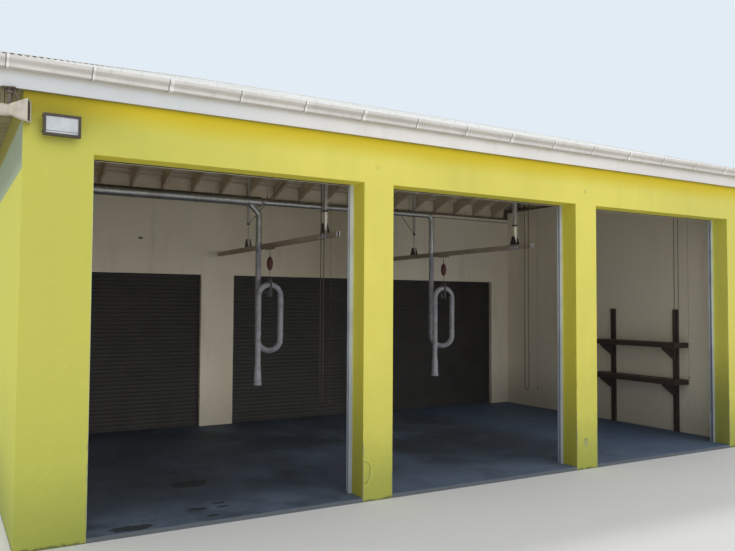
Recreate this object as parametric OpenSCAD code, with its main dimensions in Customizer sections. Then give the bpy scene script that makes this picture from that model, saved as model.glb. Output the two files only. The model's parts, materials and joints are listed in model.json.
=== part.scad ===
// Fire station: a vehicle hall of three bays in rendered masonry under a timber hip roof.
// Lengths are in millimetres. X runs along the front, Y goes from the front to the back and Z is up.
// The origin is on the ground at the middle of the plan, and the doorways face -Y.

/* [Plan] */
// Clear width of a vehicle doorway
bay_w = 3230; // [2800:10:3600]
// Width of the piers between the doorways
pier_w = 428; // [380:2:700]
// Width of the front wall outside the outer doorways
end_pier_w = 675; // [560:5:1000]
// Depth of the hall over its walls
hall_depth = 6500; // [5600:50:8000]
// Thickness of the walls
wall_t = 280; // [230:5:320]

/* [Heights] */
// Head of the vehicle doorways above the ground
bay_h = 3970; // [3500:10:4050]
// Height of the front lintel, from the doorways' head to the top of the front wall
lintel_h = 630; // [560:5:800]
// Height of the floor above the ground
floor_t = 50; // [20:5:100]

/* [Back doorways] */
// Clear width of a back doorway
back_door_w = 2990; // [2400:10:3200]
// Head of the back doorways above the ground
back_door_h = 3010; // [2600:10:3400]

/* [Roof frame] */
// Rise of the roof in each millimetre of run
roof_slope = 0.333; // [0.25:0.01:0.42]
// Gap between the front wall and the back of its fascia
front_eave = 30; // [20:5:60]
// Gap between a side wall and the back of its fascia
side_eave = 575; // [400:5:700]
// Thickness of the rafters
rafter_w = 45; // [38:1:60]
// Depth of the rafters, square to their length
rafter_d = 235; // [180:5:260]
// Distance between rafter centres
rafter_gap = 585; // [500:5:650]
// How far the hip rafters reach below the other rafters
hip_drop = 38; // [10:1:40]
// Thickness of the ridge board and the hip rafters
ridge_t = 50; // [45:1:65]
// Width of the wall plates
plate_w = 140; // [100:5:160]
// Thickness of the wall plates
plate_t = 45; // [42:1:60]
// Thickness of the blocking between the rafters
block_t = 38; // [25:1:50]

/* [Roof cover] */
// Thickness of the roof boarding
deck_t = 18; // [12:1:25]
// Depth of the sheet metal corrugations
sheet_t = 18; // [12:1:25]
// How far the sheets reach past the fascia into the gutter
sheet_reach = 55; // [30:5:70]
// Thickness of the ridge and hip capping
cap_t = 4; // [2:1:6]
// Width of the capping on each side of the ridge
cap_w = 150; // [100:5:200]
// Thickness of the fascia boards
fascia_t = 25; // [18:1:35]
// How far the fascia reaches below the top of the front wall
fascia_drop = 60; // [30:5:120]
// Thickness of the soffit boarding
soffit_t = 12; // [9:1:18]

/* [Gutters] */
// Width of the gutter at its lip
gutter_w = 125; // [100:5:150]
// Width of the gutter at its bottom
gutter_foot = 75; // [60:5:95]
// Height of the gutter
gutter_h = 105; // [80:5:120]
// Thickness of the gutter and pipe walls
gutter_t = 3; // [2:1:5]
// Drop from the underside of the sheets to the gutter lip
gutter_gap = 4; // [2:1:15]
// Outer radius of the rainwater pipes
pipe_r = 38; // [30:1:45]
// Distance between the clips of a rainwater pipe
clip_gap = 1500; // [1000:50:1800]

/* [Roller shutters] */
// Radius of a rolled-up curtain
coil_r = 190; // [150:5:200]
// Height of a coil's axis above the doorway's head
coil_rise = 390; // [360:5:400]
// Thickness of a shutter curtain
curtain_t = 20; // [15:1:25]
// How far a guide stands into its doorway
guide_reach = 50; // [30:5:70]
// Depth of a guide, front to back
guide_d = 60; // [50:5:70]
// Height of the bottom bar of a curtain
bar_h = 70; // [50:5:90]
// Distance from a coil's axis back to the chain wheel's axis
wheel_back = 485; // [400:5:560]
// Distance from the doorway's edge in to the hand chain
chain_in = 100; // [60:5:140]
// Height above the floor of the lowest link of a hand chain
chain_low = 1100; // [800:10:1500]

/* [Exhaust extraction] */
// Drop from the top of the front wall to the main duct's axis
duct_drop = 410; // [350:10:500]
// Distance of the main duct behind the middle of the hall
duct_y = 620; // [400:10:900]
// Radius of the main duct as far as its first drop
duct_r = 82; // [70:1:95]
// Radius of the drops and of the main duct past the first drop
drop_r = 52; // [50:1:60]
// Height of the lower end of the metal drops
drop_low = 3450; // [3300:10:3550]
// Radius of the flexible hoses
hose_r = 50; // [40:1:52]
// Radius of the hoses' bends, along their middle
hose_bend = 200; // [180:5:240]
// Height of the middle of a hose's lower bend
hose_low = 1850; // [1700:10:2000]
// Drop from a hose rail's axis to the saddle that carries its hose
saddle_drop = 865; // [780:5:900]
// Height where a hose ends in its nozzle
nozzle_z = 1350; // [1200:10:1500]
// Drop from the doorways' head to the hose rails' axis
rail_drop = 545; // [500:5:600]
// Height of the hose rails' section
rail_h = 80; // [60:2:90]
// Width of the hose rails' section
rail_w = 60; // [50:2:70]
// Distance from the front wall's face to the rails' near end
rail_start = 1150; // [1000:10:1600]
// Distance from the rails' near end to their first hanger
hanger_start = 420; // [300:10:600]
// Distance between the two hangers of a rail
hanger_gap = 3070; // [2900:10:3400]
// Width of the rails' near hanging posts
post_w = 50; // [40:1:60]
// Radius of the rails' far hanging rods
rod_r = 11; // [8:1:14]

/* [Wall rack] */
// Length of the rack's shelves
rack_len = 2100; // [1800:50:2400]
// Distance from the front wall's face to the rack
rack_start = 1050; // [900:10:1400]
// How far the shelves reach out from the wall
rack_depth = 450; // [350:10:480]
// Height of the upper shelf
rack_high = 1750; // [1600:10:1900]
// Height of the lower shelf
rack_low = 1060; // [900:10:1200]
// Height of the rack's uprights
rack_top = 2380; // [2200:10:2500]

/* [Front fixtures] */
// Width of the flood light
lamp_w = 355; // [300:5:400]
// Height of the flood light
lamp_h = 220; // [180:5:260]
// Distance the flood light stands out from the wall
lamp_d = 110; // [80:5:140]
// Height of the flood light's lower edge above the doorways' head
lamp_rise = 130; // [60:5:200]
// Distance from the building's corner to the flood light
lamp_in = 175; // [100:5:250]
// Width of the loudspeaker's mouth
horn_w = 150; // [120:5:160]
// Height of the loudspeaker's mouth
horn_h = 220; // [180:5:240]
// Length of the loudspeaker's flare
horn_len = 170; // [120:5:220]
// Radius of the loudspeaker's driver
driver_r = 58; // [45:1:65]

/* [Hidden] */
bays = 3;
hall_w = bays * bay_w + (bays - 1) * pier_w + 2 * end_pier_w;
half_w = hall_w / 2;
half_d = hall_depth / 2;
wall_h = bay_h + lintel_h;
pitch = bay_w + pier_w;
in_x = half_w - wall_t;
in_y = half_d - wall_t;
// Bigger than the building in every direction
far = 20000;

// Tail lines of the rafters, which are also the backs of the fascias
tail_x = half_w + side_eave;
tail_y = half_d + front_eave;
// Half the length of the ridge
ridge_x = tail_x - tail_y;
lean = atan(roof_slope);
// Depths measured plumb, as the roof's cuts are
rafter_v = rafter_d / cos(lean);
deck_v = deck_t / cos(lean);
sheet_v = sheet_t / cos(lean);
eave_z = wall_h + plate_t + rafter_v - roof_slope * (front_eave + plate_w);
hip_v = rafter_v + hip_drop;
side_plate_z = eave_z + roof_slope * (side_eave + plate_w) - rafter_v - plate_t;
fascia_z = wall_h - fascia_drop;
// Half the thickness of a hip, measured along X or Y
hip_half = ridge_t / 2 * sqrt(2);
front_count = floor((in_x - rafter_w / 2) / rafter_gap);
// The outermost side rafters stand just inside the long walls, and the others are spaced evenly
side_last = in_y - rafter_w;
side_count = round(side_last / rafter_gap);
side_gap = side_last / side_count;
gutter_z = eave_z - roof_slope * (fascia_t + sheet_reach) + deck_v - gutter_gap - gutter_h;
rail_z = bay_h - rail_drop;
rail_x = 3 * rafter_gap + rafter_w / 2 + post_w / 2;
saddle_z = rail_z - saddle_drop;
duct_z = wall_h - duct_drop;
drop_side = rail_w / 2 + drop_r + 25;
// A hose's lower bend turns towards the front by this much, so that its saddle hangs under the rail
hose_turn = acos((drop_side + hose_bend) / (2 * hose_bend));
saddle_y = duct_y - 2 * hose_bend * sin(hose_turn);
// The curtains hang this far behind the front wall
curtain_gap = 15;
coil_y = -in_y + curtain_gap + coil_r;
coil_z = bay_h + coil_rise;
// The bottom bar of a raised curtain shows this much below the doorway's head
bar_show = 15;
bar_top = bay_h + bar_h - bar_show;
end_plate = 8;
// Clearance between pieces that bear on each other
seat_gap = 0.3;
pipe_x = half_w - 200;
pipe_y = tail_y + fascia_t + pipe_r;
lamp_x = -half_w + lamp_in;
lamp_z = bay_h + lamp_rise;
lamp_rim = 26;
rail_wall = 5;

wall_paint = [0.83, 0.80, 0.40];
timber = [0.47, 0.42, 0.36];
white_paint = [0.80, 0.80, 0.78];
zinc = [0.55, 0.57, 0.60];

// Left edge of doorway i in the front wall, counted from 0
function door_x(i) = -half_w + end_pier_w + i * pitch;
// Left edge of doorway i in the back wall, on the same centre line
function back_door_x(i) = door_x(i) + (bay_w - back_door_w) / 2;
// Plumb height of the rafters' top and underside at a run in from the tail line
function top_z(run) = eave_z + roof_slope * run;
function low_z(run) = top_z(run) - rafter_v;

// A box between two corners
module box(a, b) {
    translate(a) cube(b - a);
}

// Stands an outline of (run, z) points on the front slope: the run goes along +Y, the thickness along +X
module along_x(length) {
    translate([-length / 2, -tail_y, 0]) rotate([90, 0, 90]) linear_extrude(length) children();
}

// The same on the left slope: the run goes along +X, the thickness along -Y
module along_y(length) {
    translate([-tail_x, length / 2, 0]) rotate([90, 0, 0]) linear_extrude(length) children();
}

// Plan of the front slope between its hips, each drawn back by trim, and the ridge, drawn back by ridge_trim
module front_sector(trim, ridge_trim) {
    reach = 600;
    linear_extrude(far) polygon([
        [-tail_x + trim - reach, -tail_y - reach], [-ridge_x + trim - ridge_trim, -ridge_trim],
        [ridge_x - trim + ridge_trim, -ridge_trim], [tail_x - trim + reach, -tail_y - reach]]);
}

// Plan of the left slope between its hips
module left_sector(trim) {
    reach = 600;
    linear_extrude(far) polygon([
        [-tail_x - reach, -tail_y + trim - reach], [-ridge_x - trim, 0],
        [-tail_x - reach, tail_y - trim + reach]]);
}

// Everything under the four roof planes once they are raised by lift
module under_roof(lift, reach) {
    end_z = top_z(-reach) + lift;
    intersection() {
        along_x(2 * (tail_x + reach)) polygon([
            [-reach, 0], [-reach, end_z], [tail_y, top_z(tail_y) + lift],
            [2 * tail_y + reach, end_z], [2 * tail_y + reach, 0]]);
        along_y(2 * (tail_y + reach)) polygon([
            [-reach, 0], [-reach, end_z], [tail_x, top_z(tail_x) + lift],
            [2 * tail_x + reach, end_z], [2 * tail_x + reach, 0]]);
    }
}

// Side view of a layer on one slope between two plumb heights, from the eave to past the ridge
module slope_outline(low, high, reach) {
    end = tail_y + 100;
    polygon([
        [-reach, top_z(-reach) + low], [end, top_z(end) + low],
        [end, top_z(end) + high], [-reach, top_z(-reach) + high]]);
}

// The layer on the front slope and the one on the left slope, drawn back from the hips by trim
module front_layer(low, high, reach, trim) {
    intersection() {
        along_x(2 * (tail_x + reach)) slope_outline(low, high, reach);
        front_sector(trim, trim);
    }
}

module left_layer(low, high, reach, trim) {
    intersection() {
        along_y(2 * (tail_y + reach)) slope_outline(low, high, reach);
        left_sector(trim);
    }
}

// Masonry

module floor_slab() {
    color([0.42, 0.45, 0.48]) union() {
        box([-in_x, -in_y, 0], [in_x, in_y, floor_t]);
        for (i = [0:bays - 1]) {
            box([door_x(i), -half_d, 0], [door_x(i) + bay_w, -in_y + 100, floor_t]);
            box([back_door_x(i), in_y - 100, 0], [back_door_x(i) + back_door_w, half_d, floor_t]);
        }
    }
}

// Pier i of the front wall, from 0 at the left corner to bays at the right one
module front_pier(i) {
    from = i == 0 ? -half_w : door_x(i - 1) + bay_w;
    to = i == bays ? half_w : door_x(i);
    color(wall_paint) box([from, -half_d, 0], [to, -in_y, bay_h]);
}

module front_lintel() {
    color(wall_paint) box([-half_w, -half_d, bay_h], [half_w, -in_y, wall_h]);
}

module side_wall(side) {
    inner = side * in_x;
    outer = side * half_w;
    color(wall_paint) box([min(inner, outer), -in_y, 0], [max(inner, outer), in_y, side_plate_z]);
}

module back_pier(i) {
    from = i == 0 ? -half_w : back_door_x(i - 1) + back_door_w;
    to = i == bays ? half_w : back_door_x(i);
    color(wall_paint) box([from, in_y, 0], [to, half_d, back_door_h]);
}

module back_lintel() {
    color(wall_paint) box([-half_w, in_y, back_door_h], [half_w, half_d, wall_h]);
}

// Roof frame

// Plates along the front and back walls, and higher ones along the side walls
module wall_plates() {
    color(timber) {
        for (s = [0, 1]) mirror([0, s, 0])
            box([-half_w, -half_d, wall_h], [half_w, -half_d + plate_w, wall_h + plate_t]);
        for (s = [0, 1]) mirror([s, 0, 0])
            box([-half_w, -in_y, side_plate_z], [-half_w + plate_w, in_y, side_plate_z + plate_t]);
    }
}

// Side view of a rafter: plumb tail, birdsmouth over a plate that starts at run eave, plumb head
module rafter_outline(eave, head) {
    seat = eave + plate_w;
    polygon([
        [0, top_z(0)], [head, top_z(head)], [head, low_z(head)], [seat, low_z(seat)],
        [eave, low_z(seat)], [eave, low_z(eave)], [0, low_z(0)]]);
}

// Common rafters run to the ridge board, and jack rafters are cut against the hips
module long_slope_rafters() {
    head = tail_y - ridge_t / 2;
    for (i = [-front_count:front_count]) {
        x = i * rafter_gap;
        if (abs(x) < ridge_x - hip_half)
            translate([x, 0, 0]) along_x(rafter_w) rafter_outline(front_eave, head);
        else
            intersection() {
                translate([x, 0, 0]) along_x(rafter_w) rafter_outline(front_eave, head);
                front_sector(hip_half, ridge_t / 2);
            }
    }
}

module front_rafters() {
    color(timber) long_slope_rafters();
}

module back_rafters() {
    color(timber) mirror([0, 1, 0]) long_slope_rafters();
}

module side_rafters() {
    color(timber) for (s = [0, 1], i = [-side_count:side_count]) mirror([s, 0, 0]) intersection() {
        translate([0, i * side_gap, 0]) along_y(rafter_w) rafter_outline(side_eave, tail_y);
        left_sector(hip_half);
    }
}

// A hip rafter from the eave corner to the ridge: a plank on the plan's diagonal, backed to both slopes,
// notched over the side plate, and cut plumb where it meets the opposite hip's head
module hip_rafter() {
    past = 200;
    run_end = tail_y + past;
    difference() {
        intersection() {
            under_roof(0, 0);
            translate([-tail_x, -tail_y, 0]) rotate([90, 0, 45]) translate([0, 0, -ridge_t / 2])
                linear_extrude(ridge_t) polygon([
                    [-past, top_z(-past / sqrt(2)) - hip_v], [run_end * sqrt(2), top_z(run_end) - hip_v],
                    [run_end * sqrt(2), top_z(run_end) + past], [-past, top_z(-past / sqrt(2)) + past]]);
            box([-far, -far, 0], [far, -seat_gap / 2, far]);
        }
        box([-half_w, -far, 0], [-half_w + plate_w, 0, side_plate_z + plate_t]);
    }
}

module hip_rafters() {
    color(timber)
        for (sx = [0, 1], sy = [0, 1]) mirror([sx, 0, 0]) mirror([0, sy, 0]) hip_rafter();
}

module ridge_board() {
    length = 2 * (ridge_x - hip_half);
    top = top_z(tail_y - ridge_t / 2);
    color(timber) box([-length / 2, -ridge_t / 2, top - hip_v], [length / 2, ridge_t / 2, top]);
}

// Side view of the blocking that stands on the inner edge of a plate
module block_outline(eave) {
    seat = eave + plate_w;
    polygon([
        [seat - block_t, top_z(seat - block_t)], [seat, top_z(seat)], [seat, low_z(seat)],
        [seat - block_t, low_z(seat)]]);
}

module eave_blocking() {
    side_len = 2 * (tail_y - side_eave - plate_w - 2 * hip_half);
    color(timber) {
        for (s = [0, 1]) mirror([0, s, 0]) difference() {
            along_x(2 * in_x) block_outline(front_eave);
            for (i = [-front_count:front_count])
                translate([i * rafter_gap - rafter_w / 2, -far / 2, 0]) cube([rafter_w, far, far]);
        }
        for (s = [0, 1]) mirror([s, 0, 0]) difference() {
            along_y(side_len) block_outline(side_eave);
            for (i = [-side_count:side_count])
                translate([-far / 2, i * side_gap - rafter_w / 2, 0]) cube([far, rafter_w, far]);
        }
    }
}

// Roof cover

// The boarding of each slope stops just short of the hips and the ridge
module roof_deck() {
    color([0.52, 0.47, 0.40]) for (s = [0, 1]) {
        mirror([0, s, 0]) front_layer(0, deck_v, fascia_t, seat_gap);
        mirror([s, 0, 0]) left_layer(0, deck_v, fascia_t, seat_gap);
    }
}

module long_sheet() {
    color(white_paint) front_layer(deck_v, deck_v + sheet_v, fascia_t + sheet_reach, 0);
}

module end_sheet() {
    color(white_paint) left_layer(deck_v, deck_v + sheet_v, fascia_t + sheet_reach, 0);
}

// Plan of the capping at the left end of the ridge: a band along each hip, joined over the ridge's end,
// with its tips trimmed square just short of the eave corners
module hip_cap_plan(reach) {
    tip = 12;
    run = tail_y + reach - tip;
    // Half the width of a band on the diagonal, measured along X
    skew = cap_w * sqrt(2);
    polygon([
        [-ridge_x + cap_w, -cap_w], [-ridge_x + cap_w, cap_w], [-ridge_x + skew - cap_w, cap_w],
        [-ridge_x - run + skew / 2, run + skew / 2], [-ridge_x - run - skew / 2, run - skew / 2],
        [-ridge_x - skew, 0],
        [-ridge_x - run - skew / 2, -run + skew / 2], [-ridge_x - run + skew / 2, -run - skew / 2],
        [-ridge_x + skew - cap_w, -cap_w]]);
}

// Folded capping along the ridge and the four hips
module roof_caps() {
    low = deck_v + sheet_v;
    reach = fascia_t + sheet_reach;
    ridge_part = 2 * (ridge_x - cap_w - seat_gap);
    color(white_paint) difference() {
        intersection() {
            under_roof(low + cap_t, reach);
            union() {
                linear_extrude(far) square([ridge_part, 2 * cap_w], center = true);
                for (s = [0, 1]) mirror([s, 0, 0]) linear_extrude(far) hip_cap_plan(reach);
            }
        }
        under_roof(low, reach + 100);
    }
}

// Side view of a fascia board, cut to the slope of the roof
module fascia_outline() {
    polygon([
        [-fascia_t, fascia_z], [-fascia_t, top_z(-fascia_t)], [0, top_z(0)], [0, fascia_z]]);
}

module fascia_boards() {
    color(white_paint) {
        for (s = [0, 1]) mirror([0, s, 0]) intersection() {
            along_x(2 * (tail_x + fascia_t)) fascia_outline();
            front_sector(0, 0);
        }
        for (s = [0, 1]) mirror([s, 0, 0]) intersection() {
            along_y(2 * (tail_y + fascia_t)) fascia_outline();
            left_sector(0);
        }
    }
}

// Level boarding under the side eaves, and a strip that closes the gap behind each long fascia
module soffits() {
    color([0.50, 0.47, 0.36]) {
        for (s = [0, 1]) mirror([s, 0, 0])
            box([-tail_x, -tail_y, fascia_z], [-half_w, tail_y, fascia_z + soffit_t]);
        for (s = [0, 1]) mirror([0, s, 0])
            box([-half_w, -tail_y, fascia_z], [half_w, -half_d, fascia_z + soffit_t]);
    }
}

// Gutters

// Section of the gutter: flat back and bottom, a moulded front that swells outwards, and a turned-in lip
module gutter_outline() {
    steps = 8;
    lip = 14;
    swell_low = 0.28 * gutter_h;
    swell_high = 0.74 * gutter_h;
    back = -fascia_t;
    front = [for (k = [0:steps])
        [gutter_foot + (gutter_w - gutter_foot) * (1 - cos(180 * k / steps)) / 2,
         swell_low + (swell_high - swell_low) * k / steps]];
    outer = concat([[0, gutter_h], [0, 0], [gutter_foot, 0]], front,
        [[gutter_w, gutter_h], [gutter_w - lip, gutter_h]]);
    inner = concat([[gutter_w - lip, gutter_h - gutter_t], [gutter_w - gutter_t, gutter_h - gutter_t]],
        [for (k = [steps:-1:0]) [front[k][0] - gutter_t, front[k][1]]],
        [[gutter_foot - gutter_t, gutter_t], [gutter_t, gutter_t], [gutter_t, gutter_h]]);
    polygon([for (p = concat(outer, inner)) [back - p[0], gutter_z + p[1]]]);
}

module long_gutter() {
    color(white_paint) intersection() {
        along_x(2 * (tail_x + fascia_t + gutter_w)) gutter_outline();
        front_sector(0, 0);
    }
}

module front_gutter() {
    long_gutter();
}

// The back gutter has an outlet over each rainwater pipe
module back_gutter() {
    color(white_paint) mirror([0, 1, 0]) difference() {
        long_gutter();
        for (s = [-1, 1])
            translate([s * pipe_x, -pipe_y, gutter_z - 10]) cylinder(h = 40, r = pipe_r - gutter_t);
    }
}

module side_gutters() {
    color(white_paint) for (s = [0, 1]) mirror([s, 0, 0]) intersection() {
        along_y(2 * (tail_y + fascia_t + gutter_w)) gutter_outline();
        left_sector(0);
    }
}

// Rainwater pipes down the back wall, each with its wall clips
module rain_pipes() {
    shoe = 120;
    lowest_clip = 600;
    color(white_paint) for (s = [-1, 1]) difference() {
        union() {
            translate([s * pipe_x, pipe_y, shoe]) cylinder(h = gutter_z - shoe, r = pipe_r);
            for (z = [lowest_clip:clip_gap:gutter_z - lowest_clip]) {
                translate([s * pipe_x, pipe_y, z]) cylinder(h = 30, r = pipe_r + 4);
                translate([s * pipe_x - 12, half_d, z]) cube([24, pipe_y - half_d, 30]);
            }
        }
        translate([s * pipe_x, pipe_y, shoe - 10]) cylinder(h = gutter_z, r = pipe_r - gutter_t);
    }
}

// Roller shutters

// A rolled-up curtain over doorway i, with its end plates and the bottom bar left at the doorway's head
module shutter(i) {
    left = door_x(i) - guide_reach;
    length = bay_w + 2 * guide_reach;
    front_y = -in_y + curtain_gap;
    bar_end = 20;
    bar_side = 5;
    arm_h = 110;
    translate([left, coil_y, coil_z]) rotate([0, 90, 0]) cylinder(h = length, r = coil_r);
    box([left, front_y, bar_top], [left + length, front_y + curtain_t, coil_z]);
    box([door_x(i) - bar_end, front_y - bar_side, bar_top - bar_h],
        [door_x(i) + bay_w + bar_end, front_y + curtain_t + bar_side, bar_top]);
    for (x = [left - end_plate, left + length])
        box([x, -in_y, coil_z - coil_r], [x + end_plate, coil_y + coil_r, coil_z + coil_r]);
    // The arm that carries the chain wheel
    box([left + length, coil_y, coil_z - arm_h / 2],
        [left + length + end_plate, coil_y + wheel_back + arm_h / 2, coil_z + arm_h / 2]);
}

module front_shutters() {
    color([0.62, 0.63, 0.62]) for (i = [0:bays - 1]) shutter(i);
}

// Channels on the inner face of the front wall, which the curtains run in
module shutter_guides() {
    wall = 5;
    depth = guide_d;
    width = 2 * guide_reach;
    slot = curtain_t + 2 * (curtain_gap - wall);
    color([0.70, 0.71, 0.70]) for (i = [0:bays - 1], s = [0, 1]) {
        edge = s == 0 ? door_x(i) : door_x(i) + bay_w;
        translate([edge, -in_y, floor_t]) mirror([s, 0, 0]) difference() {
            translate([-guide_reach, 0, 0]) cube([width, depth, bar_top - floor_t]);
            translate([-guide_reach + wall, wall, -1]) cube([width, slot, bar_top]);
        }
    }
}

// An endless hand chain over its wheel behind each coil, and the pull cord of the coil's brake
module hand_chains() {
    r = 4;
    wheel_r = 45;
    wheel_w = 30;
    shaft_r = 12;
    cord_back = coil_r + 45;
    knob_r = 14;
    low = floor_t + chain_low;
    reach = chain_in + guide_reach - seat_gap;
    color(zinc) for (i = [0:bays - 1]) translate([door_x(i) + bay_w - chain_in, coil_y, 0]) {
        translate([0, wheel_back, 0]) {
            translate([-wheel_w / 2, 0, coil_z]) rotate([0, 90, 0]) cylinder(h = wheel_w, r = wheel_r + r);
            translate([0, 0, coil_z]) rotate([0, 90, 0]) cylinder(h = reach, r = shaft_r);
            for (s = [-1, 1])
                translate([0, s * wheel_r, low]) cylinder(h = coil_z - low, r = r);
            translate([0, 0, low]) rotate([0, 90, 0]) rotate([0, 0, -90])
                rotate_extrude(angle = 180) translate([wheel_r, 0]) circle(r = r);
        }
        translate([0, cord_back, 0]) {
            translate([0, 0, coil_z]) rotate([0, 90, 0]) cylinder(h = reach, r = shaft_r / 2);
            translate([0, 0, low]) cylinder(h = coil_z - low, r = r / 2);
            translate([0, 0, low]) sphere(r = knob_r);
        }
    }
}

// Closed curtains in the back doorways, each with its box over the doorway's head inside
module back_shutters() {
    inset = 90;
    color([0.12, 0.12, 0.12]) for (i = [0:bays - 1])
        box([back_door_x(i), in_y + inset, floor_t],
            [back_door_x(i) + back_door_w, in_y + inset + curtain_t, back_door_h]);
}

// Exhaust extraction

// The last drop, with the elbow that ends the duct
module end_drop(x) {
    bend = 2 * drop_r;
    translate([x, duct_y, drop_low]) cylinder(h = duct_z - bend - drop_low, r = drop_r);
    translate([x - bend, duct_y, duct_z - bend]) rotate([90, 0, 0])
        rotate_extrude(angle = 90) translate([bend, 0]) circle(r = drop_r);
}

// A drop on a branch that leaves the duct at 45 degrees. The elbow is a little thinner than the
// straight runs, which reach over its ends.
module branch_drop(x) {
    bend = 2 * drop_r;
    lap = 6;
    top = duct_z - 3 * duct_r;
    elbow = bend * sin(45);
    slant = (duct_z - top - elbow) * sqrt(2);
    translate([x, duct_y, drop_low]) cylinder(h = top + lap - drop_low, r = drop_r);
    translate([x - bend, duct_y, top]) rotate([90, 0, 0])
        rotate_extrude(angle = 45) translate([bend, 0]) circle(r = drop_r - 1);
    translate([x - bend + elbow, duct_y, top + elbow]) rotate([0, -45, 0]) translate([0, 0, -lap])
        cylinder(h = slant + lap, r = drop_r);
}

module exhaust_duct() {
    first = -rail_x - drop_side;
    last = rail_x - drop_side;
    reducer = 45;
    past = 20;
    clamp_h = 40;
    clamp_t = 6;
    color(zinc) {
        translate([0, duct_y, duct_z]) rotate([0, 90, 0]) {
            translate([0, 0, -in_x]) cylinder(h = first + past + in_x, r = duct_r);
            translate([0, 0, first + past]) cylinder(h = reducer, r1 = duct_r, r2 = drop_r);
            translate([0, 0, first]) cylinder(h = last - 2 * drop_r - first, r = drop_r);
        }
        branch_drop(first);
        end_drop(last);
        // The clamps round the hoses' upper ends
        for (x = [first, last])
            translate([x, duct_y, drop_low]) cylinder(h = clamp_h, r = drop_r + clamp_t);
    }
}

// Straps and rods that hold the duct under some of the rafters
module duct_hangers() {
    rod = 6;
    strap = 5;
    color(zinc) for (k = [-8, -3, 0, 2]) {
        r = k * rafter_gap < -rail_x - drop_side ? duct_r : drop_r;
        x = k * rafter_gap;
        top = low_z(tail_y - duct_y);
        translate([x - 15, duct_y, duct_z]) rotate([0, 90, 0]) difference() {
            cylinder(h = 30, r = r + strap);
            translate([0, 0, -1]) cylinder(h = 32, r = r);
        }
        translate([x, duct_y, duct_z + r]) cylinder(h = top - duct_z - r, r = rod);
    }
}

// Half a turn of hose in the plane of X and Z, from the origin to twice the bend along +X.
// It is a little thinner than the straight runs, which reach over its ends.
module hose_half_turn() {
    translate([hose_bend, 0, 0]) rotate([90, 0, 0])
        rotate_extrude(angle = 180) translate([hose_bend, 0]) circle(r = hose_r - 1);
}

// A straight run of hose between two heights, each end lengthened by its lap
module hose_run(low, high, low_lap, high_lap) {
    translate([0, 0, low - low_lap]) cylinder(h = high - low + low_lap + high_lap, r = hose_r);
}

// A flexible hose: down from its drop, round and up to the saddle, over it and down to the nozzle
module exhaust_hose() {
    lap = 6;
    nozzle_len = 260;
    nozzle_r = 68;
    up = [2 * hose_bend * cos(hose_turn), -2 * hose_bend * sin(hose_turn), 0];
    end = up - [2 * hose_bend, 0, 0];
    hose_run(hose_low, drop_low, lap, 0);
    translate([0, 0, hose_low]) rotate([0, 0, -hose_turn]) mirror([0, 0, 1]) hose_half_turn();
    translate(up) hose_run(hose_low, saddle_z, lap, lap);
    translate(end + [0, 0, saddle_z]) hose_half_turn();
    translate(end) hose_run(nozzle_z, saddle_z, 0, lap);
    translate(end + [0, 0, nozzle_z - nozzle_len]) cylinder(h = nozzle_len, r1 = nozzle_r, r2 = hose_r);
}

module exhaust_hoses() {
    color([0.36, 0.39, 0.45]) for (s = [-1, 1])
        translate([s * rail_x - drop_side, duct_y, 0]) exhaust_hose();
}

// A trolley in the rail, the balancer on its hook, and the saddle on the balancer's cable.
// The rail's axis is at the origin.
module hose_balancer() {
    wheel_h = 34;
    stem_r = 7;
    pod_z = -295;
    bail_t = 6;
    bail_w = 40;
    bail_top = saddle_z + hose_bend + hose_r + 60 - rail_z;
    saddle_r = hose_bend - hose_r - seat_gap;
    lip = -rail_h / 2 + rail_wall;
    cheek_t = 5;
    cheek_len = 260;
    cheek_low = -rail_h / 2 - 25;
    cheek_x = rail_w / 2 + seat_gap;
    // Trolley and hook, with a cheek down each side of the rail
    translate([0, 0, lip + seat_gap + wheel_h / 2])
        cube([rail_w - 2 * rail_wall - 8, 90, wheel_h], center = true);
    translate([0, 0, pod_z]) cylinder(h = lip + seat_gap + wheel_h - pod_z, r = stem_r);
    for (x = [-cheek_x - cheek_t, cheek_x])
        box([x, -cheek_len / 2, cheek_low], [x + cheek_t, cheek_len / 2, rail_h / 2 - 5]);
    box([-cheek_x - cheek_t, -cheek_len / 2, cheek_low],
        [cheek_x + cheek_t, cheek_len / 2, cheek_low + cheek_t]);
    // Balancer
    translate([0, 0, pod_z]) rotate_extrude() polygon([
        [0, -125], [20, -122], [42, -80], [52, -20], [50, 35], [32, 85], [10, 110], [0, 112]]);
    // Cable and bail
    translate([0, 0, bail_top]) cylinder(h = pod_z - bail_top, r = 3);
    translate([0, 0, bail_top - bail_t / 2])
        cube([bail_w, 2 * (hose_r + seat_gap + bail_t), bail_t], center = true);
    for (s = [-1, 1]) translate([-bail_w / 2, s * (hose_r + seat_gap + bail_t / 2) - bail_t / 2, 0])
        box([0, 0, saddle_z - rail_z], [bail_w, bail_t, bail_top]);
    // Saddle
    translate([0, 0, saddle_z - rail_z]) rotate([90, 0, 0])
        translate([0, 0, -hose_r - seat_gap - bail_t / 2]) linear_extrude(2 * (hose_r + seat_gap) + bail_t)
            difference() {
                circle(r = saddle_r);
                circle(r = saddle_r - 8);
                translate([-saddle_r, -2 * saddle_r]) square(2 * saddle_r);
                translate([-saddle_r, 0]) square([2 * saddle_r, saddle_r / 3]);
            }
    // Cross bar that ties the bail to the saddle
    translate([0, 0, saddle_z - rail_z + saddle_r - 18])
        cube([bail_w, 2 * (hose_r + seat_gap) + bail_t, 20], center = true);
}

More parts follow.
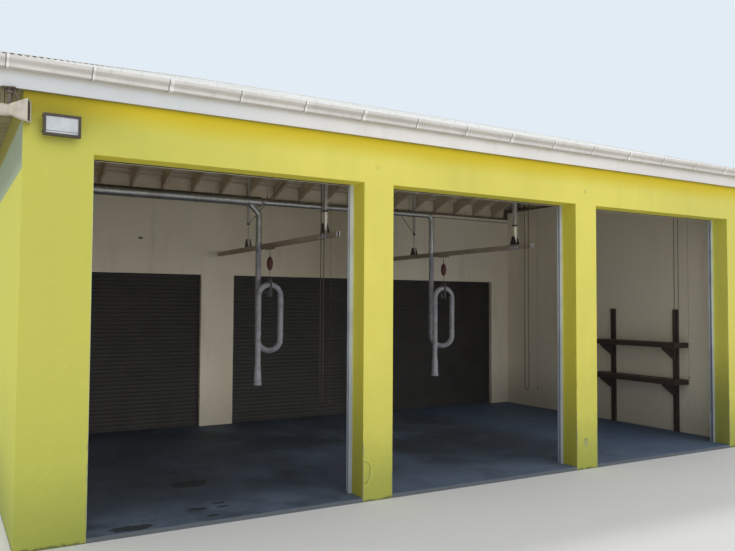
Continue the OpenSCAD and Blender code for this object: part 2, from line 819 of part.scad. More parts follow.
// Triangular plate that joins a hanger to the side of its rail, packed out to the hanger
module saddle_plate(packer) {
    plate = 6;
    saddle = 170;
    rise = 145;
    clear = rail_w / 2 + seat_gap;
    translate([clear, 0, 0]) rotate([90, 0, 90]) linear_extrude(plate) polygon([
        [-saddle / 2, -rail_h / 2], [saddle / 2, -rail_h / 2], [saddle / 2, rail_h / 2],
        [post_w / 2, rail_h / 2 + rise], [-post_w / 2, rail_h / 2 + rise], [-saddle / 2, rail_h / 2]]);
    box([packer + seat_gap, -post_w / 2, rail_h / 2 + seat_gap], [clear, post_w / 2, rail_h / 2 + rise]);
}

// Open-bottomed rails that carry the hoses from near the doorways to the back wall
module hose_rails() {
    slot = 20;
    near_y = -half_d + rail_start + hanger_start;
    color([0.36, 0.33, 0.29]) for (s = [-1, 1]) translate([s * rail_x, 0, rail_z]) {
        difference() {
            box([-rail_w / 2, -half_d + rail_start, -rail_h / 2], [rail_w / 2, in_y, rail_h / 2]);
            box([-rail_w / 2 + rail_wall, -half_d, -rail_h / 2 + rail_wall],
                [rail_w / 2 - rail_wall, half_d, rail_h / 2 - rail_wall]);
            box([-slot / 2, -half_d, -rail_h], [slot / 2, half_d, 0]);
        }
        translate([0, saddle_y, 0]) hose_balancer();
        for (y = [near_y, near_y + hanger_gap], side = [0, 1])
            translate([0, y, 0]) mirror([side, 0, 0]) saddle_plate(post_w / 2);
    }
}

// Near posts and far rods fixed to the rafters, each with a foot on its rail, and a brace on the far ones
module rail_hangers() {
    reach = 160;
    foot_h = 150;
    collar_rise = 460;
    near_y = -half_d + rail_start + hanger_start;
    far_y = near_y + hanger_gap;
    foot_z = rail_z + rail_h / 2;
    near_top = low_z(tail_y - abs(near_y)) + reach;
    far_top = low_z(tail_y - abs(far_y)) + reach;
    brace_run = 2 * rafter_gap + post_w / 2;
    strut_w = 0.8 * post_w;
    brace_rise = far_top - reach / 2 - rail_z - collar_rise;
    brace_len = sqrt(pow(brace_run, 2) + pow(brace_rise, 2));
    color([0.70, 0.70, 0.68]) for (s = [0, 1]) mirror([s, 0, 0]) translate([rail_x, 0, 0]) {
        box([-post_w / 2, near_y - post_w / 2, foot_z], [post_w / 2, near_y + post_w / 2, near_top]);
        box([-post_w / 2, far_y - post_w / 2, foot_z], [post_w / 2, far_y + post_w / 2, foot_z + foot_h]);
        translate([0, far_y, foot_z]) cylinder(h = collar_rise, r = rod_r);
        box([-strut_w / 2, far_y - strut_w / 2, rail_z + collar_rise],
            [strut_w / 2, far_y + strut_w / 2, far_top - reach / 2]);
        box([-post_w / 2, far_y - post_w / 2, far_top - reach],
            [post_w / 2, far_y + post_w / 2, far_top]);
        translate([0, far_y, rail_z + collar_rise - 12]) cylinder(h = 24, r = 2 * rod_r);
        translate([0, far_y, rail_z + collar_rise]) rotate([0, -atan2(brace_run, brace_rise), 0])
            cylinder(h = brace_len - 8, r = rod_r / 2);
        box([-brace_run, far_y - 20, far_top - reach / 2 - 40],
            [-brace_run + 8, far_y + 20, far_top - reach / 2 + 20]);
    }
}

// Wall rack in the right-hand bay: two uprights and two shelves on brackets
module wall_rack() {
    upright_w = 100;
    upright_t = 50;
    shelf_h = 90;
    bracket_t = 40;
    bracket_h = 260;
    start = -half_d + rack_start;
    uprights = [start + 0.14 * rack_len, start + 0.86 * rack_len];
    color([0.24, 0.20, 0.19]) {
        for (y = uprights)
            box([in_x - upright_t, y - upright_w / 2, floor_t], [in_x, y + upright_w / 2, rack_top]);
        for (z = [rack_low, rack_high]) {
            box([in_x - rack_depth, start, z - shelf_h], [in_x - upright_t, start + rack_len, z]);
            for (y = uprights)
                translate([in_x - upright_t, y + bracket_t / 2, z - shelf_h]) rotate([90, 0, 0])
                    linear_extrude(bracket_t)
                        polygon([[0, 0], [-0.8 * rack_depth, 0], [-0.8 * rack_depth, -30], [0, -bracket_h]]);
        }
    }
}

// Front fixtures

module flood_light() {
    back = 0.55;
    color([0.22, 0.20, 0.17]) translate([lamp_x, -half_d, lamp_z]) difference() {
        union() {
            box([0, -lamp_d, 0], [lamp_w, -lamp_d + 40, lamp_h]);
            box([lamp_w * (1 - back) / 2, -lamp_d + 40, lamp_h * (1 - back) / 2],
                [lamp_w * (1 + back) / 2, 0, lamp_h * (1 + back) / 2]);
        }
        box([lamp_rim, -lamp_d - 1, lamp_rim], [lamp_w - lamp_rim, -lamp_d + 25, lamp_h - lamp_rim]);
    }
}

module flood_light_glass() {
    color([0.75, 0.77, 0.79, 0.9]) translate([lamp_x, -half_d, lamp_z])
        box([lamp_rim, -lamp_d + 9, lamp_rim], [lamp_w - lamp_rim, -lamp_d + 25, lamp_h - lamp_rim]);
}

// A rectangular flare along +X from throat to mouth, made by crossing its plan and its side view
module flare(throat, mouth_w, mouth_h) {
    deep = 2 * max(mouth_w, mouth_h);
    intersection() {
        translate([0, deep / 2, 0]) rotate([90, 0, 0]) linear_extrude(deep) polygon([
            [0, -throat / 2], [horn_len, -mouth_h / 2], [horn_len, mouth_h / 2], [0, throat / 2]]);
        translate([0, 0, -deep / 2]) linear_extrude(deep) polygon([
            [0, -throat / 2], [horn_len, -mouth_w / 2], [horn_len, mouth_w / 2], [0, throat / 2]]);
    }
}

// Horn loudspeaker under the left soffit: its flare, the driver behind it and its bracket above
module horn_speaker() {
    throat = 100;
    skin = 4;
    driver_len = 150;
    below_soffit = 110;
    turn = 18;
    // The middle of the mouth, from the building's corner
    mouth_x = -half_w + 50;
    mouth_y = -half_d - 85;
    bracket_w = 30;
    z = fascia_z - below_soffit - horn_h / 2;
    color([0.60, 0.57, 0.48])
    translate([mouth_x - horn_len * cos(turn), mouth_y + horn_len * sin(turn), z]) rotate([0, 0, -turn]) {
        difference() {
            flare(throat, horn_w, horn_h);
            translate([skin, 0, 0]) flare(throat - 2 * skin, horn_w - 2 * skin, horn_h - 2 * skin);
        }
        translate([-driver_len, 0, 0]) rotate([0, 90, 0]) cylinder(h = driver_len + skin, r = driver_r);
        translate([-(driver_len + bracket_w) / 2, -bracket_w / 2, 0])
            cube([bracket_w, bracket_w, fascia_z - z]);
    }
}

floor_slab();
front_pier(0);  // front_left_pier
front_pier(1);  // front_inner_pier_1
front_pier(2);  // front_inner_pier_2
front_pier(bays);  // front_right_pier
front_lintel();
side_wall(-1);  // left_wall
side_wall(1);  // right_wall
back_pier(0);  // back_left_pier
back_pier(1);  // back_inner_pier_1
back_pier(2);  // back_inner_pier_2
back_pier(bays);  // back_right_pier
back_lintel();
wall_plates();
front_rafters();
back_rafters();
side_rafters();
hip_rafters();
ridge_board();
eave_blocking();
roof_deck();
long_sheet();  // front_roof
mirror([0, 1, 0]) long_sheet();  // back_roof
end_sheet();  // left_roof
mirror([1, 0, 0]) end_sheet();  // right_roof
roof_caps();
fascia_boards();
soffits();
front_gutter();
back_gutter();
side_gutters();
rain_pipes();
front_shutters();
shutter_guides();
hand_chains();
back_shutters();
exhaust_duct();
duct_hangers();
exhaust_hoses();
hose_rails();
rail_hangers();
wall_rack();
flood_light();
flood_light_glass();
horn_speaker();
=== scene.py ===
"""Looks for the fire station: materials, sheet and trim detail, soft studio light and the camera."""

from functools import reduce
import json
import math

import bmesh
import bpy
from mathutils import Matrix, Vector


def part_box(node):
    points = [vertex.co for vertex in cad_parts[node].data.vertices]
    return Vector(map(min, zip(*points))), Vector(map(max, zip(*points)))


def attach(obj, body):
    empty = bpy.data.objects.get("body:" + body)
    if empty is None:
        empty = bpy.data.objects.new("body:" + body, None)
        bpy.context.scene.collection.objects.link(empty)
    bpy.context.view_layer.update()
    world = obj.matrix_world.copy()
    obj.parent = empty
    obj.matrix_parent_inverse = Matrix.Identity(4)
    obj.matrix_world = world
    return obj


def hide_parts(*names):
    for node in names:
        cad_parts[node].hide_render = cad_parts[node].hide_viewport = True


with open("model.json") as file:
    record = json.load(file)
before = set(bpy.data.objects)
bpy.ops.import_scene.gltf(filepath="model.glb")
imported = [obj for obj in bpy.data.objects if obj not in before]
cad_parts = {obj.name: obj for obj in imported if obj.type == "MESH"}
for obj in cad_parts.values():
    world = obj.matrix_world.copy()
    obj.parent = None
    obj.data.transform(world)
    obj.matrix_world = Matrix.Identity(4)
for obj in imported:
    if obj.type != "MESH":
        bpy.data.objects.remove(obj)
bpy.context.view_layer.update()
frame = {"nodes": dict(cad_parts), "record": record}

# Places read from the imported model, in metres. X runs along the front, which faces -Y.
LINTEL_LOW, LINTEL_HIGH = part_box("front_lintel")
HALF_W, HALF_D = LINTEL_HIGH.x, -LINTEL_LOW.y
HEAD_Z = LINTEL_LOW.z
IN_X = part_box("right_wall")[0].x
IN_Y = -LINTEL_HIGH.y
FLOOR_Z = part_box("floor_slab")[1].z
SHEET_LOW, SHEET_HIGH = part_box("front_roof")
SHEET_X, SHEET_Y = SHEET_HIGH.x, -SHEET_LOW.y
RIDGE_X = SHEET_X - SHEET_Y
CORRUGATION = 0.076
SHEET_COVER = 10 * CORRUGATION
SOFFIT_BOARD = 0.122
DECK_BOARD = 0.145
DECK_JOINT = 0.006
# How far the roof rises for each metre in from its eaves
ROOF_RISE = 0.333
SHEET_DEPTH = SHEET_HIGH.z - SHEET_LOW.z - ROOF_RISE * SHEET_Y
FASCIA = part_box("fascia_boards")[1]
FRONT_PIERS, BACK_PIERS = [[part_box(side + name) for name in (
    "_left_pier", "_inner_pier_1", "_inner_pier_2", "_right_pier")] for side in ("front", "back")]
# Left and right edge of each doorway
DOORS, BACK_DOORS = [[(left[1].x, right[0].x) for left, right in zip(piers, piers[1:])]
                     for piers in (FRONT_PIERS, BACK_PIERS)]
WALL_TOP = LINTEL_HIGH.z
SIDE_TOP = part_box("left_wall")[1].z
GUTTER_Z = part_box("front_gutter")[0].z
# The painted band round the side walls
BAND_LOW, BAND_HIGH = 3.760, 4.260
RAIL_W, RAIL_H = 0.060, 0.080
RAIL_X = 1.8025
RAIL_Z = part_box("rail_hangers")[0].z - RAIL_H / 2
# The collars on the rails' near hangers
COLLAR_Z = 3.790
# Signs of the four corners round a middle
CORNERS = ((-1, -1), (1, -1), (1, 1), (-1, 1))
UP = Vector((0, 0, 1))

# The camera was fitted to the photo's edges. Yaw goes from +Y towards +X
CAMERA_PLACE = Vector((-6.622, -11.225, 2.431))
YAW, PITCH, ROLL = [math.radians(angle) for angle in (30.13, 2.29, -0.33)]
camera = bpy.data.cameras.new("camera")
camera.sensor_fit = "HORIZONTAL"
camera.sensor_width = 36.0
camera.lens = 36.139
camera.clip_end = 500.0
camera_object = bpy.data.objects.new("camera", camera)
camera_object.location = CAMERA_PLACE
ahead = Vector((math.sin(YAW) * math.cos(PITCH), math.cos(YAW) * math.cos(PITCH), math.sin(PITCH)))
level = ahead.to_track_quat("-Z", "Y").to_matrix()
camera_object.rotation_euler = (Matrix.Rotation(ROLL, 3, ahead) @ level).to_euler()
bpy.context.scene.collection.objects.link(camera_object)
bpy.context.scene.camera = camera_object


# Materials

def srgb(r, g, b):
    """A colour given in 8-bit display values, as the linear values that a shader takes."""
    linear = [(c / 255 / 12.92) if c <= 10 else ((c / 255 + 0.055) / 1.055) ** 2.4 for c in (r, g, b)]
    return (*linear, 1.0)


def shade(color, factor):
    return tuple(c * factor for c in color)


def put(tree, socket, value):
    """Links an input to an output or a field, or sets it. Colours are set in 8-bit display values."""
    value = getattr(value, "socket", value)
    if isinstance(value, bpy.types.NodeSocket):
        tree.links.new(value, socket)
    elif socket.type == "RGBA":
        socket.default_value = srgb(*value)
    else:
        socket.default_value = value


def add_node(tree, kind, inputs=(), **settings):
    node = tree.nodes.new(kind)
    for name, value in settings.items():
        setattr(node, name, value)
    for key, value in dict(inputs).items():
        put(tree, node.inputs[key], value)
    return node


def operation(name):
    """A method that joins a field with other values in one math node."""
    return lambda field, *others: field.math(name, field, *others)


def field(tree, kind, inputs, output=0, **settings):
    """Adds a node and gives one of its outputs as a field."""
    return Field(tree, add_node(tree, kind, inputs, **settings).outputs[output])


class Field:
    """A number that varies over a surface. Arithmetic on it adds nodes to the look that it belongs to."""

    def __init__(self, tree, socket):
        self.tree = tree
        self.socket = socket

    def math(self, name, *values):
        return field(self.tree, "ShaderNodeMath", enumerate(values), operation=name)

    __add__ = operation("ADD")
    __sub__ = operation("SUBTRACT")
    __mul__ = operation("MULTIPLY")
    __truediv__ = operation("DIVIDE")
    __pow__ = operation("POWER")
    __lt__ = operation("LESS_THAN")
    __gt__ = operation("GREATER_THAN")
    __or__ = operation("MAXIMUM")
    __abs__ = operation("ABSOLUTE")
    root = operation("SQRT")
    whole = operation("FLOOR")
    rest = operation("FRACT")
    cosine = operation("COSINE")

    def __rsub__(self, other):
        return self.math("SUBTRACT", other, self)

    def rise(self, low, high):
        """0 where the value is at low and 1 where it is at high, with a smooth step between them."""
        inputs = {"Value": self, "From Min": low, "From Max": high}
        return field(self.tree, "ShaderNodeMapRange", inputs, interpolation_type="SMOOTHSTEP")

    def near(self, at, reach):
        """1 where the value is at the given one, fading to 0 at the given reach from it."""
        return abs(self - at).rise(reach, 0.0)

    def random(self):
        """A random number from 0 to 1 for each value."""
        return field(self.tree, "ShaderNodeTexWhiteNoise", {"W": self}, "Value", noise_dimensions="1D")


def oval(across, up, half_across, half_up):
    """Distance from an oval's middle in units of its half widths, from the offsets in its two directions."""
    return ((across * (1 / half_across)) ** 2.0 + (up * (1 / half_up)) ** 2.0).root()


class Look:
    """Builds one procedural material. Its textures lie in the building's own frame, in metres."""

    def __init__(self, name):
        self.material = bpy.data.materials.new(name)
        self.material.use_nodes = True
        self.tree = self.material.node_tree
        self.tree.nodes.clear()
        self.shader = add_node(self.tree, "ShaderNodeBsdfPrincipled")
        add_node(self.tree, "ShaderNodeOutputMaterial", {0: self.shader.outputs[0]})
        self.place = add_node(self.tree, "ShaderNodeTexCoord").outputs["Object"]
        axes = add_node(self.tree, "ShaderNodeSeparateXYZ", {"Vector": self.place}).outputs
        self.x, self.y, self.z = [Field(self.tree, axis) for axis in axes]
        self.color = None

    def noise(self, scale, detail=4.0, roughness=0.55, stretch=(1, 1, 1), distortion=0.0):
        vector = field(self.tree, "ShaderNodeVectorMath", {0: self.place, 1: stretch}, operation="MULTIPLY")
        return field(self.tree, "ShaderNodeTexNoise", {
            "Vector": vector, "Scale": scale, "Detail": detail,
            "Roughness": roughness, "Distortion": distortion})

    def mix(self, factor, a, b):
        return add_node(self.tree, "ShaderNodeMix", {0: factor, 6: a, 7: b}, data_type="RGBA").outputs[2]

    def base(self, factor, a, b):
        """Starts the colour, from a where the factor is 0 to b where it is 1."""
        self.color = self.mix(factor, a, b)

    def coat(self, amount, tint):
        """Lays a tint over the colour."""
        self.color = self.mix(amount, self.color, tint)

    def done(self, roughness, bumps=(), constants=()):
        """Sets the shader. Each bump is a height with its depth in metres."""
        normal = {}
        for height, depth in bumps:
            inputs = {"Height": height, "Distance": depth, "Strength": 1.0, **normal}
            normal = {"Normal": add_node(self.tree, "ShaderNodeBump", inputs).outputs[0]}
        inputs = {"Base Color": self.color, "Roughness": roughness, **normal, **dict(constants)}
        for key, value in inputs.items():
            put(self.tree, self.shader.inputs[key], value)
        return self.material


def painted_render():
    """Lime yellow outside and in the front doorways, cream inside, with damp, marks, chipped edges, and
    painted shade and light.
    """
    look = Look("painted_render")
    x, y, z = look.x, look.y, look.z
    slack = 0.002
    # The back doorways are cream through the wall, the front ones yellow
    inside = (abs(x) < IN_X + slack) * ((y > -IN_Y - slack) * (y < HALF_D - slack))
    front = y < slack - HALF_D
    outer = abs(x) > HALF_W - slack
    in_wall = (1.0 - outer) * ((y > slack - HALF_D) * (y < -IN_Y - slack))
    broad = look.noise(0.45, 3.0)
    streaks = look.noise(1.0, 4.0, 0.55, stretch=(2.6, 2.6, 0.4))
    fine = look.noise(9.0, 6.0, 0.65)
    look.base(broad.rise(0.35, 0.68), (225, 216, 101), (216, 207, 96))
    # Painted shade darkens the left end, greener, and the right end a little
    look.coat(x.rise(-2.6, -5.6) * 0.8, (187, 188, 84))
    look.coat(x.rise(2.2, 5.0) * 0.75, (208, 200, 98))
    look.coat(streaks.rise(0.45, 0.8) * 0.22, (186, 184, 88))
    look.coat(fine.rise(0.55, 0.8) * 0.2, (232, 224, 126))
    # Painted shade under the eaves: a golden band below the fascia, darker still at the left corner
    eave = (z + broad * 0.12).rise(HEAD_Z + 0.29, HEAD_Z + 0.60)
    look.coat(eave * 0.94, (207, 184, 22))
    look.coat(x.rise(-4.6, -5.8) * z.rise(4.0, 4.45) * 0.7, (136, 126, 30))
    look.coat(outer * 0.5, (226, 224, 80))
    # Green growth and splashed dirt towards the foot
    high = z + fine * 0.3
    look.coat(high.rise(2.3, 0.5) * 0.45, (160, 168, 74))
    look.coat(high.rise(1.1, 0.15) * 0.65, (132, 142, 64))
    # Paint in the depth of the doorways has kept its colour. The right bay's reveals are painted lighter as
    # painted light, the lower reveals darker as painted shade, and the walls darker still along the very foot
    look.coat(in_wall * 0.5, (238, 224, 52))
    look.coat(in_wall * z.near(HEAD_Z, 0.01) * 0.7, (255, 242, 92))
    look.coat(in_wall * x.rise(4.0, 5.0), (228, 223, 98))
    # Painted shade down the lower reveals
    low_reveal_shade = in_wall * high.rise(2.1, 0.5)
    look.coat(low_reveal_shade * 0.45, (110, 120, 72))
    look.coat(low_reveal_shade * (x.rise(4.0, 5.0) * 0.5), (112, 120, 66))
    look.coat((z + look.noise(16.0, 4.0) * 0.10).rise(0.085, 0.06) * 0.7, (70, 72, 56))
    # The grey-green band on the outside of the side walls, and painted shade above it under the eaves
    blur = 0.005
    shade_over_band = outer * z.rise(BAND_HIGH - blur, BAND_HIGH + blur)
    look.coat(shade_over_band * 0.75, (128, 118, 46))
    look.coat(outer * z.rise(BAND_LOW - blur, BAND_LOW + blur) - shade_over_band, (160, 172, 142))
    # Filled bolt holes over the inner piers, and a stain near the second one's foot
    for at_x, at_z, half_x, half_z, amount, tint in (
            (-1.845, 4.174, 0.045, 0.045, 0.22, (176, 168, 84)),
            (1.812, 4.169, 0.035, 0.035, 0.45, (164, 160, 88)),
            (1.805, 0.39, 0.055, 0.075, 0.6, (142, 152, 118)),
            (1.805, 0.44, 0.05, 0.02, 0.5, (98, 106, 78))):
        ragged = oval(x - at_x, z - at_z, half_x, half_z) + look.noise(13.0, 3.0) * 0.6
        look.coat(ragged.rise(1.5, 0.7) * front * amount, tint)
    # The edge of an old repair, half an oval from the first inner pier's left edge
    ragged = oval(x - FRONT_PIERS[1][0].x, z - 0.36, 0.105, 0.135) + look.noise(13.0, 4.0, 0.7) * 0.5
    crack = ragged.near(1.26, 0.14) * front
    look.coat(crack * 0.5, (112, 116, 44))
    look.coat(ragged.near(1.52, 0.16) * front * 0.3, (196, 200, 110))
    # Chips along the doorway edges, down to bare render
    edges = reduce(Field.__or__, [x.near(edge, 0.04) for door in DOORS for edge in door])
    worn = edges * abs(y).rise(HALF_D - 0.04, HALF_D) * z.rise(2.9, 0.1)
    chips = (worn * 0.42 + look.noise(7.0, 5.0, 0.7)).rise(0.84, 0.88)
    look.coat(chips * 0.8, (150, 150, 108))
    yellow = look.color
    # Inside
    wash = look.noise(0.8, 4.0, 0.55, stretch=(1, 1, 0.6))
    look.base(wash.rise(0.35, 0.7), (240, 231, 208), (228, 218, 194))
    look.coat(x.rise(1.5, 3.0), (252, 243, 224))
    look.coat(x.rise(-1.0, -2.4), (252, 243, 222))
    look.coat(x.near(0.9, 1.3) * 0.55, (186, 172, 146))
    look.coat((z + fine * 0.6).rise(1.5, 0.2) * 0.5, (150, 143, 128))
    look.coat(streaks.rise(0.55, 0.8) * 0.3, (190, 178, 154))
    # The joint under the plates, darkened with painted shade as well, and the edge of the bond beam and a
    # small hole in the back wall
    beam_edge = z.near(WALL_TOP - 0.095, 0.016)
    back_joint_and_shade = z.rise(WALL_TOP - 0.036, WALL_TOP - 0.016)
    side_joint_and_shade = z.rise(SIDE_TOP - 0.050, SIDE_TOP - 0.024)
    hole = oval(x + 3.350, z - 3.677, 0.042, 0.022).rise(1.3, 0.8)
    lines_and_shade = (y > IN_Y - slack) * (beam_edge | back_joint_and_shade | hole) | side_joint_and_shade
    look.coat(lines_and_shade * 0.85, (64, 52, 42))
    look.color = look.mix(inside, yellow, look.color)
    trowel, grit = look.noise(3.2, 5.0, 0.6), look.noise(90.0, 3.0)
    bumps = [(trowel, 0.010), (grit, 0.0022), (1.0 - (chips | crack), 0.003)]
    return look.done(fine * 0.2 + 0.62, bumps, {"Specular IOR Level": 0.3})


def timber(name, along, light=(230, 215, 190), dark=(200, 184, 160)):
    """Sawn wood whose grain runs along x, along y, or along both for pieces that lie on the diagonal."""
    look = Look(name)
    stretch = {"x": (1.2, 22, 22), "y": (22, 1.2, 22), "both": (9, 9, 22)}[along]
    grain = look.noise(2.4, 7.0, 0.65, stretch=stretch)
    look.base(grain.rise(0.35, 0.68), light, dark)
    look.coat(look.noise(1.6, 3.0).rise(0.45, 0.75) * 0.4, shade(dark, 0.8))
    return look.done(0.8, [(grain, 0.0012)], {"Specular IOR Level": 0.25})


def board_tone(across, board):
    """For boards side by side: a random number for each, and the distance from its middle in its widths."""
    count = across / board
    return count.whole().random(), abs(count.rest() - 0.5)


def soffit_paint():
    """Olive-brown boards across the side eaves, with dirt in their joints."""
    look = Look("soffit_paint")
    tone, from_middle = board_tone(look.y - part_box("soffits")[0].y, SOFFIT_BOARD)
    grime = look.noise(2.4, 5.0, 0.6)
    look.base(tone * 0.5 + grime * 0.5, (158, 150, 108), (112, 104, 64))
    gap = from_middle.rise(0.32, 0.5) * (abs(look.x) > HALF_W)
    look.coat(gap * 0.6, (82, 76, 46))
    return look.done(0.7, [(grime, 0.0008)])


def slopes(look):
    """Where the two long slopes are, and where the two at the ends."""
    long_slope = abs(look.x) - abs(look.y) < RIDGE_X
    return long_slope, 1.0 - long_slope


def deck_boards():
    """Sawn boards across the rafters, along X on the long slopes and along Y at the ends."""
    look = Look("deck_boards")
    long_slope, end_slope = slopes(look)
    tone, from_middle = board_tone(long_slope * abs(look.y) + end_slope * abs(look.x), DECK_BOARD)
    gap = from_middle.rise(0.5 - DECK_JOINT / DECK_BOARD, 0.5 - DECK_JOINT / DECK_BOARD / 2)
    grain = look.noise(3.0, 6.0, 0.65, stretch=(6, 6, 6))
    dark = (230, 215, 190)
    look.base(tone * 0.6 + grain * 0.4, (252, 240, 217), dark)
    look.coat(gap, shade(dark, 0.35))
    return look.done(0.8, [(1.0 - gap, 0.004), (grain, 0.001)])


def weathered_paint(name, base, stain, streak_amount, rough):
    """Paint that has greyed in patches, with run marks down it."""
    look = Look(name)
    patch = look.noise(1.1, 5.0, 0.6)
    runs = look.noise(1.6, 5.0, 0.6, stretch=(9, 9, 0.5))
    look.base(patch.rise(0.4, 0.72), base, shade(base, 0.94))
    look.coat(runs.rise(0.5, 0.78) * streak_amount, stain)
    return look.done(patch * 0.2 + rough, [(look.noise(40.0, 4.0), 0.0006)])


def fascia_paint():
    """White board paint, darker and bluer at the left end as painted shade, greyer at the right end, with
    painted shade under the gutter and run marks.
    """
    look = Look("fascia_paint")
    patch = look.noise(1.1, 5.0, 0.6)
    runs = look.noise(1.6, 4.0, 0.55, stretch=(5, 5, 0.5))
    look.base(patch.rise(0.4, 0.72), (230, 227, 222), (222, 219, 213))
    # Painted shade at the left end, and the right end a little greyer
    look.coat(look.x.rise(-1.5, -5.0) * 0.75, (194, 199, 202))
    look.coat(look.x.rise(1.5, 4.5) * 0.7, (214, 212, 209))
    look.coat(runs.rise(0.5, 0.8) * 0.2, (196, 194, 184))
    # Painted shade along the top of the fascia, under the gutter
    look.coat((look.z + runs * 0.04).rise(GUTTER_Z - 0.045, GUTTER_Z + 0.02) * 0.6, (196, 186, 160))
    return look.done(patch * 0.2 + 0.45, [(look.noise(40.0, 4.0), 0.0006)])


def roof_paint():
    """White sheets, each in its own tone, with dust washed down them and rust starting at the eaves."""
    look = Look("roof_paint")
    long_slope, end_slope = slopes(look)
    along_eave = long_slope * look.x + end_slope * look.y
    dust = (long_slope * look.noise(0.9, 5.0, 0.6, stretch=(4, 0.5, 0.5))
            + end_slope * look.noise(0.9, 5.0, 0.6, stretch=(0.5, 4, 0.5)))
    fine = look.noise(24.0, 4.0, 0.6)
    wave = (along_eave * (math.tau / CORRUGATION)).cosine()
    look.base((along_eave / SHEET_COVER).whole().random(), (230, 231, 228), (220, 221, 217))
    look.coat(wave.rise(0.2, -1.0) * 0.45, (168, 166, 156))
    look.coat(dust.rise(0.45, 0.75) * 0.6, (200, 199, 190))
    # Painted shade in the ends of the valleys over the gutters
    valley_end_shade = look.z.rise(SHEET_LOW.z + 0.09, SHEET_LOW.z + 0.04) * wave.rise(0.2, -0.6)
    look.coat(valley_end_shade * 0.5, (96, 92, 86))
    rust = look.z.rise(SHEET_LOW.z + 0.10, SHEET_LOW.z) * fine.rise(0.62, 0.72)
    look.coat(rust * 0.6, (141, 98, 66))
    return look.done(dust * 0.25 + 0.38, [(fine, 0.0004)])


def zinc_sheet():
    """Galvanised sheet in crystals of different brightness, with dust on top of the duct."""
    look = Look("zinc_sheet")
    base = (204, 205, 202)
    cells = add_node(look.tree, "ShaderNodeTexVoronoi", {"Vector": look.place, "Scale": 45.0})
    flake = field(look.tree, "ShaderNodeSeparateColor", {"Color": cells.outputs["Color"]})
    dull = look.noise(2.5, 4.0)
    look.base(flake * 0.55, base, shade(base, 0.78))
    look.coat(dull.rise(0.5, 0.75) * 0.4, (120, 116, 108))
    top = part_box("exhaust_duct")[1].z
    dust = look.z.rise(top - 0.075, top - 0.025) * look.z.rise(top + 0.02, top + 0.01)
    look.coat(dust * 0.85, (84, 78, 66))
    return look.done((flake | dull) * 0.18 + 0.30, [(dull, 0.0008)], {"Metallic": 0.85})


def satin_steel(name, base, metallic=0.0, rough=0.45, wear=(120, 118, 112), dark=None, more=None,
                wear_from=0.66, wear_amount=0.5, stretch=(1, 1, 0.6)):
    """Metal in patches from base to dark, with scuffs. more(look) lays further coats."""
    look = Look(name)
    scuffs = look.noise(14.0, 6.0, 0.7, stretch=stretch)
    look.base(look.noise(2.0, 4.0).rise(0.4, 0.75), base, dark or shade(base, 0.86))
    look.coat(scuffs.rise(wear_from, 0.74) * wear_amount, wear)
    if more:
        more(look)
    return look.done(scuffs * 0.2 + rough, [(scuffs, 0.0003)], {"Metallic": metallic})


def guide_coats(look):
    """Duller towards the foot."""
    look.coat(look.z.rise(2.4, 0.9) * 0.5, (120, 130, 152))


def rail_coats(look):
    """Black plates over the rails, and a dark red balancer over a black saddle under them."""
    z = look.z
    look.coat((z > RAIL_Z + RAIL_H / 2 + 0.003) | (z < RAIL_Z - 0.14), (50, 48, 50))
    look.coat((z < RAIL_Z - 0.17) * (z > RAIL_Z - 0.43), (92, 48, 46))


def hanger_paint():
    """Dull struts, bright where they were last painted, with dark braces."""
    look = Look("hanger_paint")
    scuffs = look.noise(14.0, 6.0, 0.7, stretch=(1, 1, 0.4))
    look.base(scuffs.rise(0.4, 0.7), (196, 190, 182), (172, 164, 154))
    fresh = (look.y < 0.0) * look.z.rise(COLLAR_Z + 0.003, COLLAR_Z - 0.003)
    look.coat(fresh, (250, 240, 218))
    look.coat((abs(look.x) < RAIL_X - 0.03) * (look.y > 0.0), (84, 70, 60))
    return look.done(scuffs * 0.2 + 0.4, [(scuffs, 0.0003)])


def moulded(name, base, dark, more=None):
    """Weathered plastic or rubber with a fine grain. more(look) lays further coats."""
    look = Look(name)
    look.base(look.noise(9.0, 5.0, 0.65).rise(0.42, 0.7), base, dark)
    if more:
        more(look)
    return look.done(0.55, [(look.noise(220.0, 2.0), 0.0003)])


def horn_coats(look):
    """Run marks, and a dark bracket behind the flare."""
    runs = look.noise(5.0, 4.0, 0.6, stretch=(6, 6, 0.6))
    look.coat(runs.rise(0.5, 0.75) * 0.4, (168, 156, 128))
    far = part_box("horn_speaker")[1]
    look.coat((look.z > far.z - 0.16) * (look.x < far.x - 0.22), (112, 103, 76))


